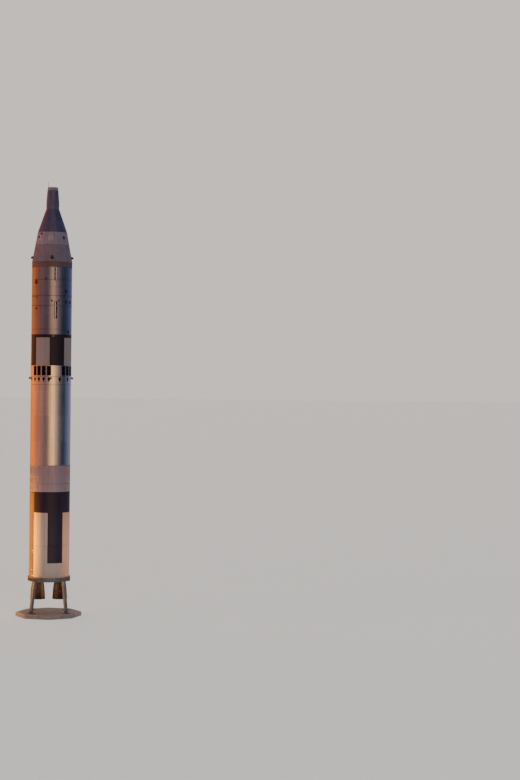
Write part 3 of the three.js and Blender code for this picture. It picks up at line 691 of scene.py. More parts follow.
def pipe(points, radius, sides, closed=False):
    """A round pipe through points, with closed ends unless it closes on itself."""
    points = [Vector(point) for point in points]
    count = len(points)
    rings = []
    side = None
    for i, point in enumerate(points):
        before = points[(i - 1) % count] if closed or i else point
        after = points[(i + 1) % count] if closed or i < count - 1 else point
        along = (after - before).normalized()
        side = along.orthogonal() if side is None else side - along * side.dot(along)
        side.normalize()
        across = along.cross(side)
        rings.append([point + radius * (side * math.cos(turn) + across * math.sin(turn))
                      for turn in full_turn(sides)])
    return lofted(rings, closed)


def curve_points(corners, radius, steps=6):
    """Points along straight runs with their corners rounded."""
    corners = [Vector(corner) for corner in corners]
    points = [corners[0]]
    for before, corner, after in zip(corners, corners[1:], corners[2:]):
        start = corner + (before - corner).normalized() * radius
        end = corner + (after - corner).normalized() * radius
        for i in range(steps + 1):
            t = i / steps
            points.append(start * (1 - t) ** 2 + corner * 2 * t * (1 - t) + end * t ** 2)
    return points + [corners[-1]]


def plate(outline, thickness, bearing):
    """A plate in the upright plane at a bearing. Its outline is [distance from the axis, z]."""
    turn = math.radians(bearing)
    across = Vector((math.cos(turn), math.sin(turn), 0)) * thickness / 2
    return lofted([[bearing_point(radius, bearing, z) + shift for radius, z in outline]
                   for shift in (-across, across)])


def combined(meshes):
    """Several meshes in one. They are used up."""
    total = bmesh.new()
    for mesh in meshes:
        holder = bpy.data.meshes.new("part")
        mesh.to_mesh(holder)
        mesh.free()
        total.from_mesh(holder)
        bpy.data.meshes.remove(holder)
    return total


def soften(mesh):
    """Smooth shading but across the sharp edges."""
    for edge in mesh.edges:
        if len(edge.link_faces) == 2:
            edge.smooth = edge.calc_face_angle(0.0) < SHARP


def rotated(mesh, degrees, axis):
    bmesh.ops.rotate(mesh, cent=(0, 0, 0), verts=mesh.verts,
                     matrix=Matrix.Rotation(math.radians(degrees), 3, axis))
    return mesh


def turn_to(mesh, bearing):
    return rotated(mesh, bearing, "Z")


def linked(name, data):
    """A new object at the origin."""
    made = bpy.data.objects.new(name, data)
    bpy.context.scene.collection.objects.link(made)
    return made


def as_object(name, mesh, *materials):
    """An object at the origin from a mesh or a list of them, smooth but for its sharp edges."""
    if isinstance(mesh, list):
        mesh = combined(mesh)
    mesh.normal_update()
    for face in mesh.faces:
        face.smooth = True
    soften(mesh)
    data = bpy.data.meshes.new(name)
    mesh.to_mesh(data)
    mesh.free()
    for material in materials:
        data.materials.append(MATERIALS[material])
    return linked(name, data)


def refinished(node, finish):
    """A solid that keeps its own shape, in its real material."""
    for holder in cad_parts[node].material_slots:
        holder.material = MATERIALS[finish]


def settled(piece, body, slot, *nodes):
    """The piece rides on a body and stands for the nodes. Its slot is not used."""
    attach(piece, body)
    if nodes:
        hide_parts(*nodes)
    return piece


def baked(piece):
    """The piece with its modifiers applied and taken off."""
    bpy.context.view_layer.update()
    depsgraph = bpy.context.evaluated_depsgraph_get()
    data = bpy.data.meshes.new_from_object(piece.evaluated_get(depsgraph))
    piece.modifiers.clear()
    old = piece.data
    piece.data = data
    bpy.data.meshes.remove(old)
    piece.data.name = piece.name
    return piece


def carved(piece, cutters, finish=0):
    """The piece less the cutters, which are used up. finish is the slot of the cut faces."""
    tools = combined(cutters)
    for face in tools.faces:
        face.material_index = finish
    tool = as_object("cutter", tools)
    for material in piece.data.materials:
        tool.data.materials.append(material)
    change = piece.modifiers.new("Cut", "BOOLEAN")
    change.operation = "DIFFERENCE"
    change.solver = "EXACT"
    change.object = tool
    baked(piece)
    bpy.data.objects.remove(tool)
    mesh = bmesh.new()
    mesh.from_mesh(piece.data)
    soften(mesh)
    mesh.to_mesh(piece.data)
    mesh.free()
    return piece


def geometry_tree(name, *inputs):
    """A tree with a geometry in and out, and the further inputs [name, kind]."""
    tree = bpy.data.node_groups.new(name, "GeometryNodeTree")
    for socket, kind in (("Geometry", "Geometry"), *inputs, ("Material", "Material")):
        tree.interface.new_socket(socket, in_out="INPUT", socket_type="NodeSocket" + kind)
    tree.interface.new_socket("Geometry", in_out="OUTPUT", socket_type="NodeSocketGeometry")
    return tree, add_node(tree, "NodeGroupInput").outputs


def copied(tree, given, points, item, turn):
    """The end of a tree: the item on every point, made real, with its material."""
    copies = add_node(tree, "GeometryNodeInstanceOnPoints",
                      {"Points": points, "Instance": item, "Rotation": turn})
    real = add_node(tree, "GeometryNodeRealizeInstances", {0: copies.outputs[0]})
    finished = add_node(tree, "GeometryNodeSetMaterial",
                        {"Geometry": real.outputs[0], "Material": given["Material"]})
    add_node(tree, "NodeGroupOutput", {0: finished.outputs[0]})
    return tree


def applied(piece, tree, **values):
    """The piece with a tree applied to it. The inputs are set by their identifiers."""
    change = piece.modifiers.new("Copies", "NODES")
    change.node_group = tree
    for socket in tree.interface.items_tree:
        if socket.in_out == "INPUT" and socket.name in values:
            change[socket.identifier] = values[socket.name]
    return baked(piece)


def round_tree():
    """Geometry Nodes: the piece repeated in even steps round Z."""
    tree, given = geometry_tree("Round the axis", ("Count", "Int"), ("Start", "Float"),
                                ("Step", "Float"))

    def maths(operation, first, second=0.0):
        return add_node(tree, "ShaderNodeMath", {0: first, 1: second},
                        operation=operation).outputs[0]

    index = add_node(tree, "GeometryNodeInputIndex").outputs[0]
    degrees = maths("ADD", given["Start"], maths("MULTIPLY", index, given["Step"]))
    turn = add_node(tree, "ShaderNodeCombineXYZ", {2: maths("RADIANS", degrees)}).outputs[0]
    line = add_node(tree, "GeometryNodeMeshLine", {"Count": given["Count"], "Offset": (0, 0, 0)})
    return copied(tree, given, line.outputs[0], given["Geometry"], turn)


def repeated(name, item, material, count, step=None, start=0.0):
    """An item, modelled at bearing 0, repeated round the rocket as one mesh."""
    tree = bpy.data.node_groups.get("Round the axis") or round_tree()
    return applied(as_object(name, item, material), tree, Count=count, Start=float(start),
                   Step=float(360 / count if step is None else step), Material=MATERIALS[material])


def gathered(name, pieces):
    """Several finished pieces as one. The others are removed."""
    total = bmesh.new()
    materials = []
    for piece in pieces:
        before = len(total.faces)
        total.from_mesh(piece.data)
        own = list(piece.data.materials)
        for material in own:
            if material not in materials:
                materials.append(material)
        total.faces.ensure_lookup_table()
        for face in total.faces[before:]:
            face.material_index = materials.index(own[min(face.material_index, len(own) - 1)])
    first = pieces[0]
    first.data.materials.clear()
    for material in materials:
        first.data.materials.append(material)
    total.to_mesh(first.data)
    total.free()
    for piece in pieces[1:]:
        bpy.data.objects.remove(piece)
    first.name = name
    first.data.name = name
    return first


def barrel_profile(low, high, radius, seam, grooves=(), land=0.09, rise=0.005):
    """The outside of a barrel section: lands at both ends and a groove at each given height."""
    skin = radius - rise
    points = [(radius, low + seam / 2), (radius, low + land), (skin, low + land + 0.004)]
    for z in grooves:
        points += [(skin, z - seam), (skin - 0.006, z - seam / 2), (skin - 0.006, z + seam / 2),
                   (skin, z + seam)]
    points += [(skin, high - land - 0.004), (radius, high - land), (radius, high - seam / 2)]
    return points


def points_on(radius_at, *heights):
    return [(radius_at(z), z) for z in heights]


def dome_profile(rim_z, crown_z, reach, steps=16):
    """A tank's end as a quarter ellipse, from the rim to the crown."""
    return [(reach * math.cos(math.pi / 2 * i / steps),
             rim_z + (crown_z - rim_z) * math.sin(math.pi / 2 * i / steps))
            for i in range(steps)] + [(0.0, crown_z)]


def surface_point(radius_at, across, z, lift=0.0, bearing=0.0):
    radius = radius_at(z)
    return bearing_point(radius + lift, bearing + math.degrees(across / radius), z)


def rounded(width, height, z, corner):
    """Lower and upper edge of a rounded rectangle, by the distance across it."""
    def span(across):
        over = max(0.0, abs(across) - (width / 2 - corner))
        drop = corner - math.sqrt(max(0.0, corner ** 2 - over ** 2))
        half = max(height / 2 - drop, 0.001)
        return z - half, z + half
    return span


def pointed(width, height, z):
    """Lower and upper edge of an outline with a round foot and a pointed top."""
    def span(across):
        share = min(1.0, abs(across) / (width / 2))
        low = z - height / 2 + width / 2 * (1 - math.sqrt(max(0.0, 1 - share ** 2)))
        high = z + height / 2 - (height - width / 2) * share * 0.96
        return low, max(high, low + 0.001)
    return span


def curved_plate(radius_at, width, span_at, lift, bearing=0.0, sink=0.003, steps=12):
    """A thin plate that follows the skin, with its edges as span_at says."""
    columns = []
    for i in range(steps + 1):
        across = -width / 2 * math.cos(math.pi * i / steps)
        low, high = span_at(across)
        columns.append([surface_point(radius_at, across, z, depth, bearing)
                        for z, depth in ((low, lift), (high, lift), (high, -sink), (low, -sink))])
    return lofted(columns)


def rimmed(radius_at, openings, grow, lift, sink=0.003):
    """Plates of the rims, and near-black plates in them as painted shade of the openings, with round
    corners.
    """
    rims, holes = [], []
    for bearing, z, width, height in openings:
        corner = min(width, height) / 2
        for plates, more, rise in ((rims, grow, 0.0), (holes, 0.0, 0.002)):
            outline = rounded(width + more, height + more, z, corner + more / 2)
            plates.append(curved_plate(radius_at, width + more, outline, lift + rise, bearing,
                                       sink))
    return rims, holes


def raised(radius_at, section, ends):
    """A rib up the skin at bearing 0. section is [across, lift], ends is [z, share of lift]."""
    return lofted([[surface_point(radius_at, across, z, up * (share if up > 0 else 1))
                    for across, up in section] for z, share in ends])


def lone(radius):
    return lambda z: radius


def smoothed(points, steps=4):
    """More points on a smooth curve through the given ones."""
    padded = [points[0]] + list(points) + [points[-1]]
    curve = []
    for a, b, c, d in zip(padded, padded[1:], padded[2:], padded[3:]):
        for i in range(steps):
            t = i / steps
            curve.append(tuple(
                0.5 * (2 * q + (r - p) * t + (2 * p - 5 * q + 4 * r - s) * t * t
                       + (3 * q - p - 3 * r + s) * t ** 3)
                for p, q, r, s in zip(a, b, c, d)))
    return curve + [tuple(points[-1])]


def scatter_tree():
    """Geometry Nodes: a small piece set on every given point of the skin, facing outwards."""
    tree, given = geometry_tree("On the skin", ("Item", "Object"), ("Lean", "Float"))
    place = add_node(tree, "GeometryNodeInputPosition").outputs[0]
    turn = add_node(tree, "ShaderNodeCombineXYZ",
                    {0: given["Lean"], 2: bearing_of(tree, place)}).outputs[0]
    item = add_node(tree, "GeometryNodeObjectInfo", {"Object": given["Item"]})
    return copied(tree, given, given["Geometry"], item.outputs["Geometry"], turn)


def scattered(name, points, item, material, lean=0.0):
    """The item, modelled at the origin and facing -Y, on every point."""
    tree = bpy.data.node_groups.get("On the skin") or scatter_tree()
    holder = as_object("item", item)
    spots = bpy.data.meshes.new(name)
    spots.from_pydata([tuple(point) for point in points], [], [])
    piece = applied(linked(name, spots), tree, Item=holder, Lean=float(lean),
                    Material=MATERIALS[material])
    bpy.data.objects.remove(holder)
    return piece


def head(size, height, sides=6):
    """A rivet's or a bolt's head at the origin, facing -Y."""
    return lofted([[(r * math.sin(turn), y, r * math.cos(turn)) for turn in full_turn(sides)]
                   for r, y in ((size, 0.001), (size, -height * 0.6), (size * 0.6, -height))])


def outline_points(radius_at, width, height, z, bearing, pitch, inset=0.0):
    """Points round a rectangle on the skin."""
    half_width = width / 2 - inset
    half_height = height / 2 - inset
    corners = [(-half_width, z - half_height), (half_width, z - half_height),
               (half_width, z + half_height), (-half_width, z + half_height)]
    points = []
    for (x0, z0), (x1, z1) in zip(corners, corners[1:] + corners[:1]):
        count = max(1, round(math.hypot(x1 - x0, z1 - z0) / pitch))
        for i in range(count):
            t = i / count
            points.append(surface_point(radius_at, x0 + (x1 - x0) * t, z0 + (z1 - z0) * t,
                                        0.0, bearing))
    return points


# Stage

CAMERA = {"distance": 128.0, "height": 17.25, "yaw": 7.135, "pitch": -0.03, "roll": 0.6,
          "lens": 77.1, "sensor": 36.0}
FLOOR_REACH = 3000.0
PALE = (0.84, 0.77, 0.72, 1)
EVEN = (0.80, 0.74, 0.74, 1)
EVEN_POWER = 0.27
FLOOR_LIFT = (0.46, 0.47, 0.44, 1)
FLOOR_SHARE = 0.85  # of the surroundings' light, in what the skin reflects of the floor

# What the rocket's skin reflects. [bearing, colour]
SURROUNDINGS = [
    (-180, (0.42, 0.36, 0.34)), (-150, (0.85, 0.38, 0.18)), (-120, (2.25, 0.40, 0.01)),
    (-91, (0.95, 0.26, 0.06)), (-69, (0.58, 0.220, 0.165)), (-49, (0.43, 0.195, 0.168)),
    (-31, (0.22, 0.130, 0.130)), (-13, (0.31, 0.195, 0.17)), (5, (2.15, 1.12, 0.45)),
    (21, (1.45, 0.82, 0.40)), (39, (0.34, 0.265, 0.25)), (58, (0.085, 0.088, 0.115)),
    (79, (0.018, 0.026, 0.058)), (103, (0.12, 0.150, 0.26)), (140, (0.27, 0.30, 0.46)),
    (165, (0.36, 0.36, 0.44)), (180, (0.42, 0.36, 0.34)),
]
SURROUNDINGS_POWER = 1.15

# Soft parallel light. [name, bearing, elevation, spread, strength, colour]
SUNS = [
    ("warm", -78, 14, 35, 0.90, (1.0, 0.52, 0.36)), ("front", 8, 30, 40, 0.27, (1.0, 0.84, 0.92)),
    ("cool", 82, 20, 40, 0.34, (0.55, 0.70, 1.0)), ("top", 180, 60, 50, 0.35, (1.0, 0.93, 0.88)),
]
# Low lamps round the foot. [name, bearing, height, aim, power, colour]
FLOODS = [
    ("left_flood", -107, 2.0, 6.5, 3000, (1.0, 0.37, 0.0)),
    ("right_flood", 108, 2.5, 5.5, 220, (1.0, 0.30, 0.06)),
    ("front_flood", 12, 2.5, 6.5, 80, (0.74, 0.70, 0.84)),
]
FLOOD_SIZE = 4.0
FLOOD_SPREAD = 50
FLOOD_DISTANCE = 13


def all_round(tree, direction):
    """Nodes that give the colour of the surroundings in a direction."""
    share = add_node(tree, "ShaderNodeMapRange", {
        "Value": bearing_of(tree, direction), "From Min": -math.pi, "From Max": math.pi})
    ramp = add_node(tree, "ShaderNodeValToRGB", {0: share.outputs[0]})
    set_stops(ramp.color_ramp, [((bearing + 180) / 360, colour)
                                for bearing, colour in SURROUNDINGS])
    return ramp.outputs[0]


class MakeStudio(bpy.types.Operator):
    """Floor, soft lights, pale background and the camera"""
    bl_idname = "rocket.studio"
    bl_label = "Studio"

    def execute(self, context):
        self.floor()
        self.world(context.scene)
        for name, bearing, elevation, spread, strength, colour in SUNS:
            rise = math.radians(elevation)
            self.lamp(name, "SUN", bearing_point(math.cos(rise), bearing, math.sin(rise)),
                      upwards(0), strength, colour).angle = math.radians(spread)
        for name, bearing, z, aim, power, colour in FLOODS:
            flood = self.lamp(name, "AREA", bearing_point(FLOOD_DISTANCE, bearing, z),
                              upwards(aim), power, colour)
            flood.size = FLOOD_SIZE
            flood.spread = math.radians(FLOOD_SPREAD)
        data = bpy.data.cameras.new("camera")
        data.lens = CAMERA["lens"]
        data.sensor_width = CAMERA["sensor"]
        data.clip_end = 2 * FLOOR_REACH
        camera = linked("camera", data)
        camera.location = (0, -CAMERA["distance"], CAMERA["height"])
        aim = Matrix.Identity(4)
        for degrees, axis in ((-CAMERA["yaw"], "Z"), (90 - CAMERA["pitch"], "X"),
                              (CAMERA["roll"], "Z")):
            aim = aim @ Matrix.Rotation(math.radians(degrees), 4, axis)
        camera.rotation_euler = aim.to_euler()
        context.scene.camera = camera
        return {"FINISHED"}

    def world(self, scene):
        """Even light on the skin, the surroundings where it shines, and a pale background."""
        scene.world = bpy.data.worlds.new("pale_studio")
        scene.world.use_nodes = True
        tree = scene.world.node_tree
        tree.nodes.clear()
        rays = add_node(tree, "ShaderNodeLightPath").outputs
        direction = add_node(tree, "ShaderNodeTexCoord").outputs["Generated"]
        even, around, seen = [
            add_node(tree, "ShaderNodeBackground", {"Color": colour, "Strength": strength}).outputs[0]
            for colour, strength in ((EVEN, EVEN_POWER), (all_round(tree, direction),
                                                          SURROUNDINGS_POWER), (PALE, 1.0))]
        lit = add_node(tree, "ShaderNodeMixShader", {0: rays["Is Glossy Ray"], 1: even, 2: around})
        shown = add_node(tree, "ShaderNodeMixShader",
                         {0: rays["Is Camera Ray"], 1: lit.outputs[0], 2: seen})
        add_node(tree, "ShaderNodeOutputWorld", {0: shown.outputs[0]})

    def lamp(self, name, kind, at, aim, energy, colour):
        data = bpy.data.lights.new(name, kind)
        data.energy = energy
        data.color = colour
        made = linked(name, data)
        made.location = at
        made.rotation_euler = (aim - made.location).to_track_quat("-Z", "Y").to_euler()
        made.visible_camera = False
        made.visible_glossy = False
        return data

    def floor(self):
        """A pale floor. The skin reflects it in the colours of the surroundings."""
        mesh = turned([(0, -0.02), (FLOOR_REACH, -0.02), (FLOOR_REACH, 0), (0, 0)], 64)
        shader = Shader("pale_floor")
        cloud = shader.noise(0.05, 0.05, 3)
        shader.paint(base_color=shader.colour(cloud, (0.58, 0.58, 0.58), (0.61, 0.61, 0.61)),
                     roughness=0.9)
        tree = shader.tree
        lift = add_node(tree, "ShaderNodeEmission", {"Color": FLOOR_LIFT})
        lit = add_node(tree, "ShaderNodeAddShader",
                       {0: shader.surface.outputs[0], 1: lift.outputs[0]})
        glow = add_node(tree, "ShaderNodeEmission", {
            "Color": all_round(tree, shader.place.socket),
            "Strength": FLOOR_SHARE * SURROUNDINGS_POWER})
        rays = add_node(tree, "ShaderNodeLightPath").outputs
        shown = shader.surface
        for ray, other in (("Is Camera Ray", lit), ("Is Glossy Ray", glow)):
            shown = add_node(tree, "ShaderNodeMixShader",
                             {0: rays[ray], 1: shown.outputs[0], 2: other.outputs[0]})
        tree.links.new(shown.outputs[0], shader.output.inputs["Surface"])
        MATERIALS["floor"] = shader.material
        as_object("floor", mesh, "floor")


# Plinth and stand

class MakePlinth(bpy.types.Operator):
    """Cast plinth with chamfered edges and the marks of its boards"""
    bl_idname = "rocket.plinth"
    bl_label = "Plinth"

    def execute(self, context):
        high = top("plinth")
        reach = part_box("plinth")[1].x
        chamfer = 0.03
        profile = [(0, 0), (reach - 0.008, 0), (reach, 0.008), (reach, 0.145), (reach - 0.006, 0.149),
                   (reach, 0.153), (reach, high - chamfer), (reach - chamfer, high), (0, high)]
        slab = as_object("plinth_slab", turned(profile, 8), "concrete")
        apothem = reach * math.cos(math.pi / 8)
        plugs = [turn_to(bar((x, -apothem + 0.004, z), (x, -apothem - 0.0015, z), 0.011, 12), b)
                 for b in (22.5 + 45 * k for k in range(8)) for x in (-0.6, 0.6)
                 for z in (0.075, 0.225)]
        ties = as_object("ties", plugs, "inner")
        settled(gathered("plinth_cast", [slab, ties]), "rocket", "concrete", "plinth")
        return {"FINISHED"}


LEG = {"width": 0.22, "top_r": 1.525, "foot_r": 1.85, "plate": 0.46, "plate_height": 0.04}


def nut(x, y, z, size, stud):
    """A washer, a nut and the end of its stud, standing on z."""
    return [bar((x, y, z), (x, y, z + 0.006), size * 1.35, 20),
            bar((x, y, z + 0.006), (x, y, z + 0.006 + size * 0.9), size, 6),
            bar((x, y, z + 0.03), (x, y, z + stud), size * 0.55, 12)]


class MakeStand(bpy.types.Operator):
    """Stand ring with its flanges, and the four leaning legs"""
    bl_idname = "rocket.stand"
    bl_label = "Stand"

    def execute(self, context):
        low, high = foot("stand_ring"), top("stand_ring")
        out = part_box("stand_ring")[1].x
        inner = out - 0.17
        flange, web = 0.028, 0.022
        profile = [(inner, low), (out, low), (out, low + flange), (out - 0.07, low + flange + 0.004),
                   (out - 0.07, high - flange - 0.004), (out, high - flange), (out, high),
                   (inner, high), (inner, high - flange), (out - 0.07 - web, high - flange - 0.004),
                   (out - 0.07 - web, low + flange + 0.004), (inner, low + flange)]
        ring = as_object("ring", turned(profile, SIDES, closed=True), "stand")
        stiffener = box((0.012, 0.066, high - low - 2 * flange),
                        (0, -(out - 0.035), (low + high) / 2), 0.001)
        stiffeners = repeated("stiffeners", stiffener, "stand", 48, start=3.75)
        clamp = combined([
            box((0.09, 0.10, 0.03), (0, -(out - 0.045), high + 0.016), 0.004),
            bar((0, -(out - 0.03), high + 0.03), (0, -(out - 0.03), high + 0.058), 0.022, 6)])
        clamps = repeated("clamps", clamp, "steel", 24, start=7.5)
        bolt = bar((0, -(out - 0.035), low - 0.03), (0, -(out - 0.035), low + 0.001), 0.02, 6)
        bolts = repeated("bolts", bolt, "steel", 48)
        settled(gathered("stand_ring_flanged", [ring, stiffeners, clamps, bolts]), "rocket", "stand",
                "stand_ring")
        for i, bearing in enumerate((45, 135, 225, 315)):
            self.leg(f"stand_leg_{i + 1}", f"stand_leg_frame_{i + 1}", bearing)
        return {"FINISHED"}

    def leg(self, node, name, bearing):
        low, high = foot(node), top(node)
        half = LEG["width"] / 2
        plate_top = low + LEG["plate_height"]
        post = plate([(LEG["foot_r"] - half, plate_top), (LEG["foot_r"] + half, plate_top),
                      (LEG["top_r"] + half, high), (LEG["top_r"] - half, high)], LEG["width"], 0)
        bmesh.ops.bevel(post, geom=post.edges[:], offset=0.016, segments=3, affect="EDGES")
        base = box((LEG["plate"], LEG["plate"], LEG["plate_height"]),
                   (0, -LEG["foot_r"], low + LEG["plate_height"] / 2), 0.004)
        parts = [outward(post), base]
        for side in (-1, 1):
            outer = LEG["foot_r"] + side * half
            parts.append(plate([(outer - side * 0.01, plate_top), (outer + side * 0.10, plate_top),
                                (outer + side * 0.10, plate_top + 0.03),
                                (outer - side * 0.06, plate_top + 0.30)], 0.016, 0))
            x = side * (half - 0.004)
            corners = [(x, 0), (x + side * 0.10, 0), (x + side * 0.10, 0.03), (x, 0.28)]
            parts.append(prism(corners, plate_top, -LEG["foot_r"] - 0.008, -LEG["foot_r"] + 0.008))
            for x_side in (-1, 1):
                parts += nut(x_side * 0.185, -(LEG["foot_r"] + side * 0.185), plate_top, 0.024, 0.07)
        parts.append(box((LEG["width"] + 0.06, LEG["width"] + 0.04, 0.02),
                         (0, -LEG["top_r"], high - 0.012), 0.003))
        leg = as_object(name, turn_to(combined(parts), bearing), "stand")
        settled(leg, "rocket", "stand", node)


# First stage

FRAME_DEPTH = 0.04
TAIL_FRAMES = (3.6, 4.2, 4.77)
STAGE_TWO_FRAMES = (19.75, 20.5)
GROOVES = {"stage1_fuel": 7.2, "stage1_oxidizer": (13.5, 15.5), "stage2_fuel": 21.73,
           "stage2_oxidizer": (24.9, 25.45)}


def framed_wall(low, high, seam, frames):
    """A skirt's wall: skin outside, and ring frames inside at the given heights."""
    outer = barrel_profile(low, high, BODY_R, seam)
    inner_r, skin_r = BODY_R - SKIN, BODY_R - SKIN + FRAME_DEPTH
    points = list(outer) + [(inner_r, high - 0.002), (inner_r, high - 0.06)]
    stretches = [0] * (len(outer) - 1) + [1, 1]
    for z in sorted(frames, reverse=True):
        points += [(skin_r, z + 0.045), (inner_r, z + 0.04), (inner_r, z - 0.04),
                   (skin_r, z - 0.045)]
        stretches += [1, 1, 1, 1]
    points += [(skin_r, low + 0.065), (inner_r, low + 0.06), (inner_r, low + 0.002)]
    stretches += [1, 1, 1, 1]
    return turned(points, SIDES, closed=True, stretches=stretches)


def inner_stringers(low, high, count, depth=0.03):
    """Upright stringers inside a skirt."""
    at = -(BODY_R - SKIN + FRAME_DEPTH - depth / 2 + 0.002)
    return repeated("stringers", box((0.03, depth, high - low - 0.13), (0, at, (low + high) / 2)),
                    "inner", count, start=180 / count)


def teardrop(bearing, z, radius=0.108, drop=0.26, depth=0.24, steps=12):
    """A cutter through the skirt, round above and pointed below."""
    touch = math.acos(radius / drop)
    points = [(0.0, -drop)]
    for i in range(steps + 1):
        angle = -math.pi / 2 + touch + (2 * math.pi - 2 * touch) * i / steps
        points.append((radius * math.cos(angle), radius * math.sin(angle)))
    return turn_to(prism(points, z, -BODY_R - depth / 2, -BODY_R + depth / 2), bearing)


def prism(points, z, y_from, y_to):
    """An outline of [x, height over z] taken from one y to another."""
    return lofted([[(x, y, z + up) for x, up in points] for y in (y_from, y_to)])


TEARDROP_BEARINGS = (-70.8, -51.9, -36.9, -21.2, -5.7, 25, 55)
TEARDROP_Z = 18.0
# The material slot of the cut edges, which gets the dark paint as painted shade inside the holes.
SHADED_CUT_SLOT = 1  # the slot of the cut edges
SLOT = {"groups": 4, "each": 4, "first": -29.0, "pitch": 15.4, "width": 0.295, "foot": 18.25,
        "top": 18.95, "wall": 0.014, "inner_r": 1.15}


def slot_bearings():
    return [SLOT["first"] + group * 90 + (i - (SLOT["each"] - 1) / 2) * SLOT["pitch"]
            for group in range(SLOT["groups"]) for i in range(SLOT["each"])]


def domed_tank(name, node, skirt, groove, seam, finish, slot):
    """A fuel tank, from its dome inside the skirt below it up to its top."""
    rim, high = top(skirt), top(node)
    dome = dome_profile(rim, foot(node), BODY_R - SKIN - 0.005)
    outer = barrel_profile(rim, high, BODY_R, seam, (groove,))
    stretches = [1] * len(dome) + [0] * (len(outer) - 1) + [1]
    mesh = turned(dome[::-1] + outer + [(0, high - seam / 2)], stretches=stretches)
    settled(as_object(name, mesh, finish, "inner"), "rocket", slot, node)


